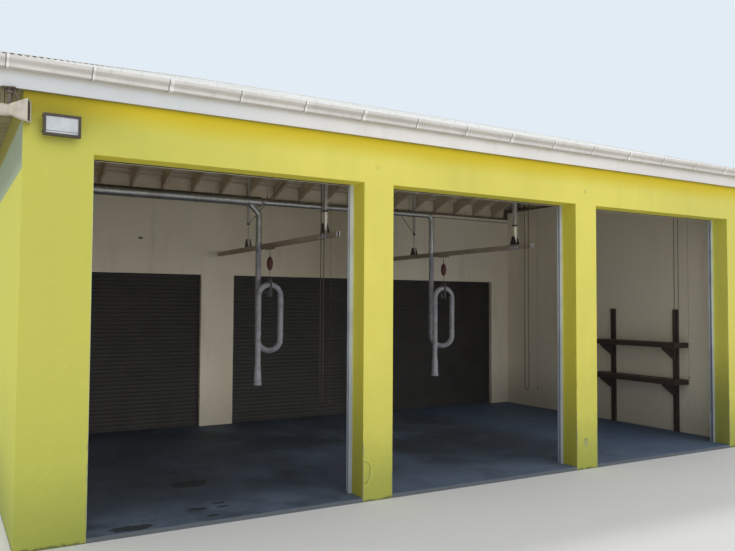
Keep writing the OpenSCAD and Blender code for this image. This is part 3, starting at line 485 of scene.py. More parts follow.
def trowelled_concrete():
    look = Look("trowelled_concrete")
    x, y = look.x, look.y
    cloud = look.noise(0.55, 6.0, 0.62)
    fine = look.noise(30.0, 4.0, 0.6)
    stain = look.noise(1.4, 5.0, 0.7, distortion=0.6)
    look.base(cloud.rise(0.35, 0.7), (74, 89, 110), (52, 62, 77))
    look.coat(stain.rise(0.56, 0.7) * 0.6, (34, 38, 44))
    look.coat(fine.rise(0.6, 0.8) * 0.3, (116, 132, 152))
    # Oil under where the engines stand
    oil = y.rise(-2.9, -1.6) * look.noise(0.9, 4.0, 0.6).rise(0.36, 0.6)
    look.coat(oil * 0.6, (36, 39, 44))
    look.coat(x.rise(-1.0, -4.5) * 0.55, (34, 41, 50))
    look.coat(x.rise(2.2, 3.4) * 0.55, (84, 107, 140))
    # Paler along the front, most of all at the right of the middle bay: painted light near the doorways, with
    # some wear
    worn = (93, 108, 129)
    look.coat(y.rise(-2.0, -2.9) * look.noise(1.8, 5.0, 0.65).rise(0.28, 0.62) * 0.75, worn)
    look.coat(x.rise(0.2, 1.0) * x.rise(2.6, 1.9) * y.rise(-2.2, -2.8) * 0.45, worn)
    for at_x, at_y, half_x, half_y in (
            (-4.80, -3.12, 0.26, 0.12), (-3.66, -2.60, 0.09, 0.05), (-3.67, -2.76, 0.08, 0.04),
            (-3.96, -2.74, 0.12, 0.06), (-3.88, -3.07, 0.09, 0.05), (-3.70, -1.50, 0.30, 0.22)):
        ragged = oval(x - at_x, y - at_y, half_x, half_y) + look.noise(11.0, 5.0, 0.65) * 1.1
        look.coat(ragged.rise(1.6, 1.2) * 0.88, (22, 24, 26))
    # The slab's edge is bare concrete
    look.coat(look.z.rise(FLOOR_Z - 0.002, FLOOR_Z - 0.006), (88, 93, 98))
    return look.done(0.72 - stain.rise(0.5, 0.8) * 0.25, [(fine, 0.0008), (cloud, 0.002)])


def hazed_glass():
    look = Look("hazed_glass")
    haze = look.noise(8.0, 4.0)
    look.base(haze.rise(0.35, 0.75), (200, 205, 210), (184, 190, 194))
    return look.done(0.2, [(haze, 0.0002)], {"Transmission Weight": 0.12, "IOR": 1.5, "Coat Weight": 0.3})


LOOKS = {
    "concrete_floor": trowelled_concrete(),
    "wall_paint": painted_render(),
    "roof_timber": timber("rafter_timber_y", "y"),
    "blocking_timber": timber("blocking_timber", "x", (254, 243, 220), (238, 224, 198)),
    "roof_boarding": deck_boards(),
    "roof_sheet": roof_paint(),
    "white_trim": fascia_paint(),
    "soffit_boarding": soffit_paint(),
    "gutter": weathered_paint("gutter_enamel", (214, 210, 204), (176, 170, 160), 0.45, 0.35),
    "shutter_steel": satin_steel("shutter_paint", (190, 182, 166)),
    "guide_steel": satin_steel(
        "guide_metal", (212, 219, 228), 0.1, 0.45, (130, 130, 130), (188, 195, 203), guide_coats),
    "zinc_steel": zinc_sheet(),
    "dark_shutter": satin_steel("dark_shutter_paint", (56, 54, 52), 0.0, 0.6, (78, 76, 72)),
    "hose_rubber": moulded("hose_rubber", (172, 170, 178), (140, 139, 148)),
    "rail_steel": satin_steel(
        "rail_paint", (176, 162, 144), 0.0, 0.42, (120, 108, 94), (156, 143, 126), rail_coats,
        wear_from=0.6, wear_amount=0.4, stretch=(1, 0.6, 1)),
    "hanger_steel": hanger_paint(),
    "rack_steel": satin_steel("rack_paint", (72, 60, 56), 0.0, 0.5, (104, 92, 84)),
    "lamp_bronze": satin_steel("lamp_bronze_paint", (70, 62, 54), 0.2, 0.5, (104, 94, 80)),
    "lamp_glass": hazed_glass(),
    "horn_plastic": moulded("horn_cream", (206, 198, 184), (180, 170, 150), horn_coats),
}
RAFTER_X = timber("rafter_timber_x", "x")
RAFTER_DIAGONAL = timber("rafter_timber_diagonal", "both")
BLACK_STEEL = satin_steel("black_steel", (52, 48, 46), 0.0, 0.5, (84, 78, 72))
BRIGHT_METAL = satin_steel("bright_metal", (214, 214, 210), 0.9, 0.28)
BRACKET_STEEL = satin_steel("bracket_steel", (106, 97, 84), 0.0, 0.6, (150, 138, 120))
CHAIN_STEEL = satin_steel("chain_steel", (92, 82, 72), 0.3, 0.5)
STRAP_ENAMEL = weathered_paint("strap_enamel", (238, 236, 232), (208, 204, 196), 0.2, 0.35)
JOINT_GRIME = weathered_paint("joint_grime", (152, 148, 140), (120, 114, 104), 0.3, 0.7)
CLAMP_STEEL = satin_steel("clamp_steel", (206, 204, 222), 0.1, 0.4)
OWN_LOOKS = {"side_rafters": RAFTER_X, "ridge_board": RAFTER_X, "hip_rafters": RAFTER_DIAGONAL,
             "wall_plates": RAFTER_DIAGONAL}

for part in frame["record"]["subparts"]:
    node = frame["nodes"][part["node"]]
    look = OWN_LOOKS.get(part["node"], LOOKS[part["material_slot"]])
    if not node.material_slots:
        node.data.materials.append(look)
    for material_slot in node.material_slots:
        material_slot.material = look


# Meshes

class Shape:
    """Collects the points and faces of one piece."""

    def __init__(self):
        self.points = []
        self.faces = []

    def grid(self, rows, close=True):
        """Faces over rows of points of equal length. close joins the end of each row to its start."""
        start = len(self.points)
        width = len(rows[0])
        for row in rows:
            self.points.extend(row)
        for r in range(len(rows) - 1):
            for c in range(width if close else width - 1):
                a = start + r * width + c
                b = start + r * width + (c + 1) % width
                self.faces.append((a, b, b + width, a + width))

    def prism(self, rings):
        """A closed solid through rings of points."""
        start = len(self.points)
        width = len(rings[0])
        self.grid(rings)
        last = start + (len(rings) - 1) * width
        self.faces.append(tuple(range(start + width - 1, start - 1, -1)))
        self.faces.append(tuple(range(last, last + width)))

    def box(self, low, high, chamfer=0.0):
        """A box between two corners, with its edges cut back by chamfer."""
        c = chamfer

        def ring(z, inset):
            x0, y0, x1, y1 = low[0] + inset, low[1] + inset, high[0] - inset, high[1] - inset
            if not c:
                return [(x0, y0, z), (x1, y0, z), (x1, y1, z), (x0, y1, z)]
            return [(x0 + c, y0, z), (x1 - c, y0, z), (x1, y0 + c, z), (x1, y1 - c, z),
                    (x1 - c, y1, z), (x0 + c, y1, z), (x0, y1 - c, z), (x0, y0 + c, z)]
        if c:
            self.prism([ring(low[2], c), ring(low[2] + c, 0), ring(high[2] - c, 0), ring(high[2], c)])
        else:
            self.prism([ring(low[2], 0), ring(high[2], 0)])

    def along_x(self, outline, start, stop):
        """A prism from one x to another over (y, z) points."""
        self.prism([[(x, y, z) for y, z in outline] for x in (start, stop)])

    def swept(self, path, outline, closed=False):
        """Sweeps rings along a path. outline(k) gives point k's ring as (side, up) pairs."""
        points = [Vector(p) for p in path]
        rings = []
        side = None
        for k, point in enumerate(points):
            before = points[k - 1] if k or closed else point
            after = points[(k + 1) % len(points)] if k < len(points) - 1 or closed else point
            along = (after - before).normalized()
            if side is None:
                side = along.orthogonal().normalized()
            side = (side - along * side.dot(along)).normalized()
            up = along.cross(side)
            rings.append([tuple(point + side * a + up * b) for a, b in outline(k)])
        if closed:
            self.grid(rings + rings[:1])
        else:
            self.prism(rings)

    def tube(self, path, radius, sides=8, closed=False):
        ring = circle(radius, sides)
        self.swept(path, lambda k: ring, closed)

    def rod(self, start, end, radius, sides=12):
        self.tube([start, end], radius, sides)

    def turned(self, place, axis, profile, sides=24):
        """A solid of revolution about an axis through place. The profile is (radius, height) pairs."""
        along, side, up = directions(axis)
        place = Vector(place)
        self.prism([[tuple(place + along * height + side * a + up * b) for a, b in circle(radius, sides)]
                    for radius, height in profile])

    def piece(self, name, slot, look=None, smooth=None, instead_of=()):
        """Makes the mesh, gives it its finish and lets it ride on the building."""
        mesh = bpy.data.meshes.new(name)
        mesh.from_pydata(self.points, [], self.faces)
        editable = bmesh.new()
        editable.from_mesh(mesh)
        bmesh.ops.remove_doubles(editable, verts=editable.verts, dist=1e-6)
        bmesh.ops.recalc_face_normals(editable, faces=editable.faces)
        editable.to_mesh(mesh)
        editable.free()
        obj = bpy.data.objects.new(name, mesh)
        bpy.context.scene.collection.objects.link(obj)
        mesh.materials.append(look or LOOKS[slot])
        if smooth is not None:
            mesh.shade_smooth()
            mesh.set_sharp_from_angle(angle=math.radians(smooth))
        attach(obj, "root")
        if instead_of:
            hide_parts(*instead_of)
        return obj


def directions(axis):
    """The unit vector along an axis, and two more square to it and to each other."""
    along = Vector(axis).normalized()
    side = along.orthogonal().normalized()
    return along, side, along.cross(side)


def circle(radius, sides):
    angles = [math.tau * n / sides for n in range(sides)]
    return [(radius * math.cos(angle), radius * math.sin(angle)) for angle in angles]


def span(low, high, count):
    """count + 1 values evenly from low to high."""
    return [low + (high - low) * k / count for k in range(count + 1)]


# Flexible hoses, along the same route as the solid ones

HOSE_R = 0.050
HOSE_BEND = 0.200
HOSE_LOW = 1.850
SADDLE_Z = 2.560
DROP_LOW = 3.450
NOZZLE_Z = 1.350
NOZZLE_LEN = 0.260
NOZZLE_R = 0.068
# The hose runs on into its nozzle
HOSE_END = NOZZLE_Z - 0.140
DROP_SIDE = 0.107
DUCT_Y = 0.620
HOSE_TURN = math.acos((DROP_SIDE + HOSE_BEND) / (2 * HOSE_BEND))
HOSE_RIB = 0.020


def hose_route(start_x, steps):
    """Points down from the drop, round the low bend, over the saddle and down to the nozzle."""
    turn = Vector((math.cos(HOSE_TURN), -math.sin(HOSE_TURN), 0))
    back = Vector((1, 0, 0))
    first = Vector((start_x, DUCT_Y, 0))
    second = first + turn * 2 * HOSE_BEND
    third = second - back * 2 * HOSE_BEND

    def straight(foot, start_z, end_z):
        # Its steps are as long as those round the bends
        count = round(steps * abs(end_z - start_z) / (math.pi * HOSE_BEND))
        return [foot + UP * z for z in span(start_z, end_z, count)]

    def bend(middle, side, up):
        angles = span(0, math.pi, steps)[1:]
        return [middle + HOSE_BEND * (side * math.cos(a) + up * math.sin(a)) for a in angles]

    return (straight(first, DROP_LOW, HOSE_LOW)
            + bend(first + turn * HOSE_BEND + UP * HOSE_LOW, -turn, -UP)
            + straight(second, HOSE_LOW, SADDLE_Z)[1:]
            + bend(second - back * HOSE_BEND + UP * SADDLE_Z, back, UP)
            + straight(third, SADDLE_Z, HOSE_END)[1:])


# Four rings for each rib
HOSE_STEPS = round(math.pi * HOSE_BEND / HOSE_RIB * 4)
NOZZLE_WALL = 0.004
for hose_name, rail_x in (("left_hose", -RAIL_X), ("right_hose", RAIL_X)):
    start_x = rail_x - DROP_SIDE
    hose = Shape()
    rib_rings = [circle(HOSE_R - sunk, 20) for sunk in (0.0, 0.0, 0.004, 0.004)]
    fine_route = hose_route(start_x, HOSE_STEPS)
    hose.swept(fine_route, lambda k: rib_rings[k % 4])
    hose_piece = hose.piece(hose_name, "hose_rubber", smooth=70, instead_of=["exhaust_hoses"])
    nozzle = Shape()
    # Down the outside, and back up the inside to the hose's end
    nozzle.turned((*fine_route[-1].xy, NOZZLE_Z), (0, 0, -1), [
        (HOSE_R + 0.001, -0.05), (HOSE_R + 0.004, -0.045), (HOSE_R + 0.004, 0.0), (HOSE_R + 0.006, 0.02),
        (NOZZLE_R - 0.004, NOZZLE_LEN - 0.05), (NOZZLE_R, NOZZLE_LEN - 0.03), (NOZZLE_R, NOZZLE_LEN),
        (NOZZLE_R - NOZZLE_WALL, NOZZLE_LEN), (NOZZLE_R - 2 * NOZZLE_WALL, NOZZLE_LEN - 0.05),
        (HOSE_R + 0.001, 0.141)], 28)
    nozzle_piece = nozzle.piece(hose_name + "_nozzle", "hose_rubber", smooth=35, instead_of=["exhaust_hoses"])
    hose_route(start_x, 8)


# Corrugated sheets, one run of lapped sheets on each slope

WAVE_STEPS = 8
METAL = 0.0012
# Screws: their rows' distances in from the eave, and the outline of a head as (radius, height) pairs
SCREW_ROWS = (0.10, 0.85, 1.65, 2.45, 3.15)
SCREW_HEAD = ((0.009, 0.0), (0.009, 0.002), (0.006, 0.002), (0.005, 0.007))


def roof_sheets(name, half_length, to_plan):
    """Lapped corrugated sheets from the eave up to the hips and the ridge, on the slope of one side."""
    shape = Shape()
    trim = 0.04
    swing = (SHEET_DEPTH - 2 * METAL) / 2

    def top(u, v, lap):
        wave = math.cos(math.tau * u / CORRUGATION)
        return SHEET_LOW.z + ROOF_RISE * v + METAL + swing * (1 + wave) + lap

    def end(u):
        return min(SHEET_Y, half_length - abs(u)) - trim

    edge = half_length - 2 * trim
    for k in range(math.ceil(2 * edge / SHEET_COVER)):
        start = -edge + k * SHEET_COVER
        stop = min(start + SHEET_COVER + 0.6 * CORRUGATION, edge)
        steps = max(2, round((stop - start) / CORRUGATION * WAVE_STEPS))
        rings = []
        for s, u in enumerate(span(start, stop, steps)):
            # The lapping edge of each sheet lies on the one before it
            lap = METAL * (1 - s / steps)
            rings.append([(*to_plan(u, v), top(u, v, lap) - drop)
                          for v, drop in ((0, 0), (end(u), 0), (end(u), METAL), (0, METAL))])
        shape.prism(rings)
    for row, v in enumerate(SCREW_ROWS):
        for crest in range(-round(edge / CORRUGATION), round(edge / CORRUGATION)):
            u = crest * CORRUGATION
            if end(u) > v + 0.05 and (crest + row) % 3 == 0:
                shape.prism([[(*to_plan(u + a, v + b), top(u, v, METAL) + lift) for a, b in circle(radius, 6)]
                             for radius, lift in SCREW_HEAD])
    shape.piece(name + "_sheets", "roof_sheet", smooth=35, instead_of=[name])


def side_plans(half_x, half_y):
    """For each side: half its length, and its plan point from distances along it and in from it."""
    return {
        "front": (half_x, lambda u, v: (u, v - half_y)),
        "back": (half_x, lambda u, v: (-u, half_y - v)),
        "left": (half_y, lambda u, v: (v - half_x, -u)),
        "right": (half_y, lambda u, v: (half_x - v, u)),
    }


for side_name, (half, to_plan) in side_plans(SHEET_X, SHEET_Y).items():
    roof_sheets(side_name + "_roof", half, to_plan)


# Gutters: a strap at every bracket, a wider one at every joint, and grime beside them

GUTTER_H = 0.105
GUTTER_W = 0.125
GUTTER_FOOT = 0.075
BRACKET_GAP = 0.795
FIRST_BRACKET = 0.255


def gutter_outline(grow):
    """Outer outline of the gutter as (distance out from the fascia, height above its bottom)."""
    steps = 8
    low, high = 0.28 * GUTTER_H, 0.74 * GUTTER_H
    points = [(0.0, -grow), (GUTTER_FOOT + grow, -grow)]
    for k, up in enumerate(span(low, high, steps)):
        out = GUTTER_FOOT + (GUTTER_W - GUTTER_FOOT) * (1 - math.cos(math.pi * k / steps)) / 2
        points.append((out + grow, up))
    return points + [(GUTTER_W + grow, GUTTER_H + grow), (GUTTER_W - 0.016, GUTTER_H + grow)]


# Outlines of the straps, and of the grime beside them
BAND, THIN_BAND = [gutter_outline(grow) + gutter_outline(0.0)[::-1] for grow in (0.004, 0.001)]
for side_name, (half, to_plan) in side_plans(FASCIA.x, FASCIA.y).items():
    fittings = Shape()
    grime = Shape()
    for k in range(-10, 11):
        at = FIRST_BRACKET + k * BRACKET_GAP
        if abs(at) > half - 0.1:
            continue
        half_width = 0.022 if k % 3 == 0 else 0.011
        for shape, ring, start, stop in ((fittings, BAND, at - half_width, at + half_width),
                                         (grime, THIN_BAND, at - half_width - 0.012, at - half_width)):
            shape.prism([[(*to_plan(u, -out), GUTTER_Z + up) for out, up in ring] for u in (start, stop)])
    fittings.piece(side_name + "_gutter_fittings", "gutter", STRAP_ENAMEL, smooth=40)
    grime.piece(side_name + "_gutter_joints", "gutter", JOINT_GRIME, smooth=40)


# Soffit boards across the side eaves, and strips along the long ones

SOFFIT_LOW, SOFFIT_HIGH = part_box("soffits")
SOFFIT_JOINT = 0.006
soffit = Shape()
for sign in (-1, 1):
    edges_x = sorted((sign * HALF_W, sign * SOFFIT_HIGH.x))
    y = SOFFIT_LOW.y
    while y < SOFFIT_HIGH.y - SOFFIT_JOINT:
        stop = min(y + SOFFIT_BOARD, SOFFIT_HIGH.y)
        soffit.box((edges_x[0], y, SOFFIT_LOW.z), (edges_x[1], stop - SOFFIT_JOINT, SOFFIT_HIGH.z), 0.002)
        y = stop
    strip_y = sorted((sign * HALF_D, sign * SOFFIT_HIGH.y))
    soffit.box((-HALF_W, strip_y[0], SOFFIT_LOW.z), (HALF_W, strip_y[1], SOFFIT_HIGH.z), 0.002)
soffit.piece("soffit_panels", "soffit_boarding", instead_of=["soffits"])


# Roller shutters: slatted rolls over the front doorways, slatted curtains in the back ones

COIL_R = 0.190
COIL_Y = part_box("front_shutters")[0].y + 0.010 + COIL_R
COIL_Z = HEAD_Z + 0.390
CURTAIN_T = 0.020
SLAT = 0.075


def slat_edge(low, high, depth):
    """(out, z) pairs down a slatted curtain: a shallow bow on each slat, a bead at each joint."""
    points = []
    z = high
    while z > low + 0.01:
        height = min(SLAT, z - low)
        for share, out in ((0.0, 0.15), (0.06, 1.0), (0.12, 0.3), (0.35, 0.75), (0.65, 0.75), (0.94, 0.3)):
            points.append((depth * out, z - share * height))
        z -= height
    points.append((0.0, low))
    return points


GUIDE_REACH = 0.050
BAR_REACH = 0.020
END_PLATE = 0.008
BAR_TOP = HEAD_Z + 0.055
BAR_H = 0.070
CURTAIN_Y = COIL_Y - COIL_R
WHEEL_BACK = 0.485
ARM_H = 0.110
rolls = Shape()
seals = Shape()
for left, right in DOORS:
    start, stop = left - GUIDE_REACH, right + GUIDE_REACH
    # The outer turn of the roll shows its slats
    outline = []
    slats = 16
    for k in range(slats):
        for share, sunk in ((0.0, 0.0), (0.08, 0.0), (0.14, 0.007), (0.5, 0.004), (0.94, 0.008)):
            angle = math.tau * (k + share) / slats
            radius = COIL_R - sunk
            outline.append((COIL_Y + radius * math.cos(angle), COIL_Z + radius * math.sin(angle)))
    rolls.along_x(outline, start, stop)
    # The slats that hang down to the bottom bar
    face = slat_edge(BAR_TOP, COIL_Z, 0.006)
    outline = [(CURTAIN_Y - out + 0.006, z) for out, z in face]
    outline += [(CURTAIN_Y + CURTAIN_T - 0.008, z) for out, z in reversed(face)]
    rolls.along_x(outline, start, stop)
    # Bottom bar: a steel angle, with a rubber seal along its outer edge
    bar_low = BAR_TOP - BAR_H
    for shape, near_y, low, far_y, high, chamfer in (
            (rolls, 0.008, bar_low, CURTAIN_T + 0.005, BAR_TOP, 0.002),
            (rolls, -0.005, bar_low, 0.007, bar_low + 0.005, 0.001),
            (seals, -0.005, bar_low + 0.0055, 0.007, BAR_TOP, 0.002)):
        shape.box((left - BAR_REACH, CURTAIN_Y + near_y, low),
                  (right + BAR_REACH, CURTAIN_Y + far_y, high), chamfer)
    for x in (start - END_PLATE, stop):
        rolls.box((x, -IN_Y, COIL_Z - COIL_R), (x + END_PLATE, COIL_Y + COIL_R, COIL_Z + COIL_R), 0.001)
        for y, z in ((-0.08, -0.12), (-0.08, 0.12), (0.11, 0.0)):
            rolls.turned((x + END_PLATE / 2, COIL_Y + y, COIL_Z + z), (1, 0, 0),
                         [(0.016, -0.014), (0.018, -0.010), (0.018, 0.010), (0.016, 0.014)], 6)
    rolls.box((stop, COIL_Y, COIL_Z - ARM_H / 2),
              (stop + END_PLATE, COIL_Y + WHEEL_BACK + ARM_H / 2, COIL_Z + ARM_H / 2), 0.001)
rolls.piece("shutter_rolls", "shutter_steel", smooth=30, instead_of=["front_shutters"])
seals.piece("shutter_seals", "hose_rubber", BLACK_STEEL, instead_of=["front_shutters"])


# Hand chains over their wheels, with each brake's pull cord

CHAIN_R = 0.004
WHEEL_R = 0.045
SHAFT_R = 0.012
CORD_BACK = COIL_R + 0.045
KNOB_R = 0.014
LINK_PITCH = 0.026
LINK_WIRE = 0.0028
CHAIN_IN = 0.100
CHAIN_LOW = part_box("hand_chains")[0].z + WHEEL_R + CHAIN_R
chains = Shape()


def chain_link(middle, along, across):
    """One oval link of round wire."""
    half, bend = LINK_PITCH / 2 - 0.001, 0.0062
    path = []
    for end in (1, -1):
        for angle in span(-math.pi / 2, math.pi / 2, 3):
            reach = (half - bend + LINK_WIRE + bend * math.cos(angle)) * end
            path.append(middle + along * reach + across * bend * math.sin(angle) * end)
    chains.tube(path, LINK_WIRE, 5, closed=True)


for left, right in DOORS:
    x = right - CHAIN_IN
    wheel = Vector((x, COIL_Y + WHEEL_BACK, COIL_Z))
    # Up the front run, over the wheel, down the back run and round the bottom
    turn = [Vector((0, math.cos(a), math.sin(a))) * WHEEL_R for a in span(math.pi, 0, 12)]
    over = [wheel + t for t in turn]
    under = [wheel + Vector((0, 0, CHAIN_LOW - COIL_Z)) + Vector((0, t.y, -t.z)) for t in reversed(turn)]
    path = under[-1:] + over + under
    across = Vector((1, 0, 0))
    carried = LINK_PITCH / 2
    count = 0
    for start, end in zip(path, path[1:]):
        length = (end - start).length
        along = (end - start) / length
        while carried < length:
            flat = across if count % 2 else across.cross(along)
            chain_link(start + along * carried, along, flat)
            carried += LINK_PITCH - 2 * LINK_WIRE
            count += 1
        carried -= length
    chains.turned(wheel, (1, 0, 0), [(0.012, -0.014), (WHEEL_R + 0.001, -0.014), (WHEEL_R - 0.006, -0.005),
                                     (WHEEL_R - 0.006, 0.005), (WHEEL_R + 0.001, 0.014), (0.012, 0.014)], 24)
    chains.rod(wheel, (right + GUIDE_REACH, wheel.y, wheel.z), SHAFT_R, 16)
    cord = Vector((x, COIL_Y + CORD_BACK, COIL_Z))
    chains.rod(cord, (right + GUIDE_REACH, cord.y, cord.z), SHAFT_R / 2, 12)
    knob = (cord.x, cord.y, CHAIN_LOW)
    chains.rod(cord, knob, CHAIN_R / 2, 6)
    chains.turned(knob, UP, [
        (0.002, -KNOB_R), (0.009, -0.011), (KNOB_R, 0.0), (0.009, 0.011), (0.003, 0.016)], 14)
chains.piece("chain_loops", "zinc_steel", CHAIN_STEEL, smooth=50, instead_of=["hand_chains"])


# Back curtains

BACK_LOW, BACK_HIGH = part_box("back_shutters")
back = Shape()
for left, right in BACK_DOORS:
    face = slat_edge(FLOOR_Z, BACK_HIGH.z, 0.009)
    middle = (BACK_LOW.y + BACK_HIGH.y) / 2
    outline = [(middle + out + 0.001, z) for out, z in face]
    outline += [(middle - out - 0.001, z) for out, z in reversed(face)]
    back.along_x(outline, left, right)
back.piece("back_curtains", "dark_shutter", smooth=30, instead_of=["back_shutters"])


# Duct seams and coupling bands

duct = Shape()
SEAM_PITCH = 0.13
DUCT_R = 0.082
DROP_R = 0.052
DROP_BEND = 2 * DROP_R
DUCT_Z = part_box("exhaust_duct")[1].z - DUCT_R
REDUCER_START, REDUCER_END = 0.020, 0.065
first_drop, last_drop = -RAIL_X - DROP_SIDE, RAIL_X - DROP_SIDE
# Where the first drop's elbow begins, and where its branch leaves the duct
elbow_z = DUCT_Z - 3 * DUCT_R
elbow_reach = DROP_BEND * math.sin(math.pi / 4)
branch_x, branch_z = first_drop - DROP_BEND + elbow_reach, elbow_z + elbow_reach
branch_run = DUCT_Z - DUCT_R - branch_z
seam_end = DROP_LOW + 0.04
# A spiral seam along each run, from one (x, z) to another
for x0, z0, x1, z1, radius in (
        (-IN_X, DUCT_Z, first_drop + REDUCER_START, DUCT_Z, DUCT_R),
        (first_drop + REDUCER_END, DUCT_Z, last_drop - DROP_BEND, DUCT_Z, DROP_R),
        (first_drop, elbow_z, first_drop, seam_end, DROP_R),
        (last_drop, DUCT_Z - DROP_BEND, last_drop, seam_end, DROP_R),
        (branch_x - branch_run, branch_z + branch_run, branch_x, branch_z, DROP_R)):
    start, end = Vector((x0, DUCT_Y, z0)), Vector((x1, DUCT_Y, z1))
    along, side, up = directions(end - start)
    length = (end - start).length
    steps = round(length / SEAM_PITCH * 16)
    seam = []
    for k in range(steps + 1):
        angle = math.tau * (length / SEAM_PITCH) * k / steps
        around = side * math.cos(angle) + up * math.sin(angle)
        seam.append(start + along * (length * k / steps) + (radius + 0.0005) * around)
    duct.tube(seam, 0.0022, 4)
# Bands: where, which way the duct runs there as (x, z), its radius and half the band's width
COUPLING = ((0.001, -1.0), (0.004, -0.9), (0.004, 0.9), (0.001, 1.0))
for x, z, (along_x, along_z), radius, half in (
        *[(x, DUCT_Z, (1, 0), DUCT_R, 0.035) for x in (-4.5, -3.0, first_drop - 0.25)],
        (first_drop + REDUCER_START / 2, DUCT_Z, (1, 0), DUCT_R, 0.012),
        *[(x, DUCT_Z, (1, 0), DROP_R, 0.03) for x in (first_drop + 0.10, -1.52, -0.4, 0.9)],
        (branch_x, branch_z, (-1, 1), DROP_R, 0.012),
        (first_drop, elbow_z, (0, 1), DROP_R, 0.012),
        (last_drop - DROP_BEND, DUCT_Z, (1, 0), DROP_R, 0.012),
        (last_drop, DUCT_Z - DROP_BEND, (0, 1), DROP_R, 0.012)):
    outline = [(radius + out, half * share) for out, share in COUPLING]
    duct.turned((x, DUCT_Y, z), (along_x, 0, along_z), outline)
duct.piece("duct_seams", "zinc_steel", smooth=40)


# Rails: clamp plates with bolts under the near saddles, end caps, and the hangers' collars

clamps = Shape()
collars = Shape()
# Between each rail's two hangers
HANGER_GAP = 3.070
RAIL_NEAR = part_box("hose_rails")[0].y
NEAR_HANGER_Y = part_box("rail_hangers")[0].y + 0.025
SADDLE_FACE = RAIL_W / 2 + 0.0063
for sign in (-1, 1):
    middle = sign * RAIL_X
    for side in (-1, 1):
        face = middle + side * SADDLE_FACE
        edges = sorted((face, face + side * 0.004))
        clamps.box((edges[0], NEAR_HANGER_Y - 0.13, RAIL_Z - 0.036),
                   (edges[1], NEAR_HANGER_Y + 0.10, RAIL_Z + 0.012), 0.001)
        for y in (-0.105, -0.045, 0.015, 0.075):
            clamps.turned((face + side * 0.003, NEAR_HANGER_Y + y, RAIL_Z - 0.012), (side, 0, 0),
                          [(0.013, 0.0), (0.013, 0.008), (0.010, 0.010)], 6)
    for x in (-0.026, 0.013):
        clamps.box((middle + x, RAIL_NEAR + 0.002, RAIL_Z - RAIL_H / 2 + 0.004),
                   (middle + x + 0.013, RAIL_NEAR + 0.010, RAIL_Z + RAIL_H / 2 - 0.006), 0.001)
    collars.box((middle - 0.034, NEAR_HANGER_Y - 0.034, COLLAR_Z - 0.012),
                (middle + 0.034, NEAR_HANGER_Y + 0.034, COLLAR_Z + 0.012), 0.003)
    collars.turned((middle, NEAR_HANGER_Y + HANGER_GAP, RAIL_Z + 0.46), UP,
                   [(0.026, -0.014), (0.028, -0.010), (0.028, 0.010), (0.026, 0.014)], 16)
clamps.piece("rail_clamps", "hanger_steel", CLAMP_STEEL, smooth=30)
collars.piece("hanger_collars", "rail_steel", BLACK_STEEL, smooth=30)


# Flood light: bowed lens, reflector, hinge knobs and screws

low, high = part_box("flood_light_glass")
lamp_low, lamp_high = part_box("flood_light")
lens = Shape()
middle, half = (low.x + high.x) / 2, (high.x - low.x) / 2
lens_ring = [(middle + share * half, low.y + 0.003 * share * share) for share in span(-1.0, 1.0, 24)]
lens_ring += [(high.x, low.y + 0.006), (low.x, low.y + 0.006)]
lens.prism([[(x, y, z) for x, y in lens_ring] for z in (low.z, high.z)])
lens.piece("flood_light_lens", "lamp_glass", smooth=50, instead_of=["flood_light_glass"])
lens_line = Shape()
lens_line.box((low.x + 0.004, low.y - 0.001, low.z + 0.020),
              (high.x - 0.004, low.y + 0.004, low.z + 0.024))
lens_line.piece("flood_light_lip", "lamp_bronze")
reflector = Shape()
rows = []
for z in span(low.z + 0.001, high.z - 0.001, 8):
    share = (z - low.z) / (high.z - low.z)
    y = high.y - 0.001 - 0.006 * (2 * share - 1) ** 2
    rows.append([(low.x + 0.001, y, z), (high.x - 0.001, y, z)])
reflector.grid(rows, close=False)
reflector.piece("flood_light_reflector", "lamp_bronze", BRIGHT_METAL, smooth=40)
knobs = Shape()
for z in (lamp_low.z + 0.035, lamp_high.z - 0.03):
    knobs.turned((lamp_low.x, lamp_low.y + 0.02, z - 0.014), UP,
                 [(0.007, 0.0), (0.010, 0.003), (0.010, 0.025), (0.007, 0.028)], 14)
    knobs.turned((lamp_high.x - 0.012, lamp_low.y, z), (0, -1, 0),
                 [(0.008, -0.001), (0.008, 0.003), (0.005, 0.006)], 12)
knobs.piece("flood_light_knobs", "lamp_bronze", smooth=40)


# Horn loudspeaker: the dark folded horn in its mouth

HORN_LOW, HORN_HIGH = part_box("horn_speaker")
HORN_TURN = math.radians(18)
HORN_AHEAD = Vector((math.cos(HORN_TURN), -math.sin(HORN_TURN), 0))
HORN_SIDE = Vector((math.sin(HORN_TURN), math.cos(HORN_TURN), 0))
HORN_MOUTH = Vector((-HALF_W + 0.050, -HALF_D - 0.085, HORN_LOW.z + 0.110))


def four_corners(middle, half_side, half_up):
    """A ring of four points, from the vectors from its middle to two of its sides."""
    return [tuple(middle + half_side * a + half_up * b) for a, b in CORNERS]


horn = Shape()
horn.prism([four_corners(HORN_MOUTH + HORN_AHEAD * depth, HORN_SIDE * half_side, UP * half_up)
            for depth, half_side, half_up in (
                (-0.030, 0.056, 0.090), (-0.010, 0.060, 0.094), (-0.006, 0.050, 0.080),
                (-0.010, 0.030, 0.050), (-0.012, 0.010, 0.016))])
horn.piece("horn_mouth", "horn_plastic", BLACK_STEEL)
# Its bracket: a plate under the soffit, two arms down to the throat, and their wing nuts
HORN_POST = HORN_MOUTH - HORN_AHEAD * 0.180
ARM_SIDE = 0.030
bracket = Shape()
plate_z = HORN_HIGH.z - 0.012


def bracket_plate(place, half_ahead, half_side, low, high):
    """A flat bar or plate in line with the horn."""
    bracket.prism([four_corners(Vector((*place.xy, z)), HORN_AHEAD * half_ahead, HORN_SIDE * half_side)
                   for z in (low, high)])


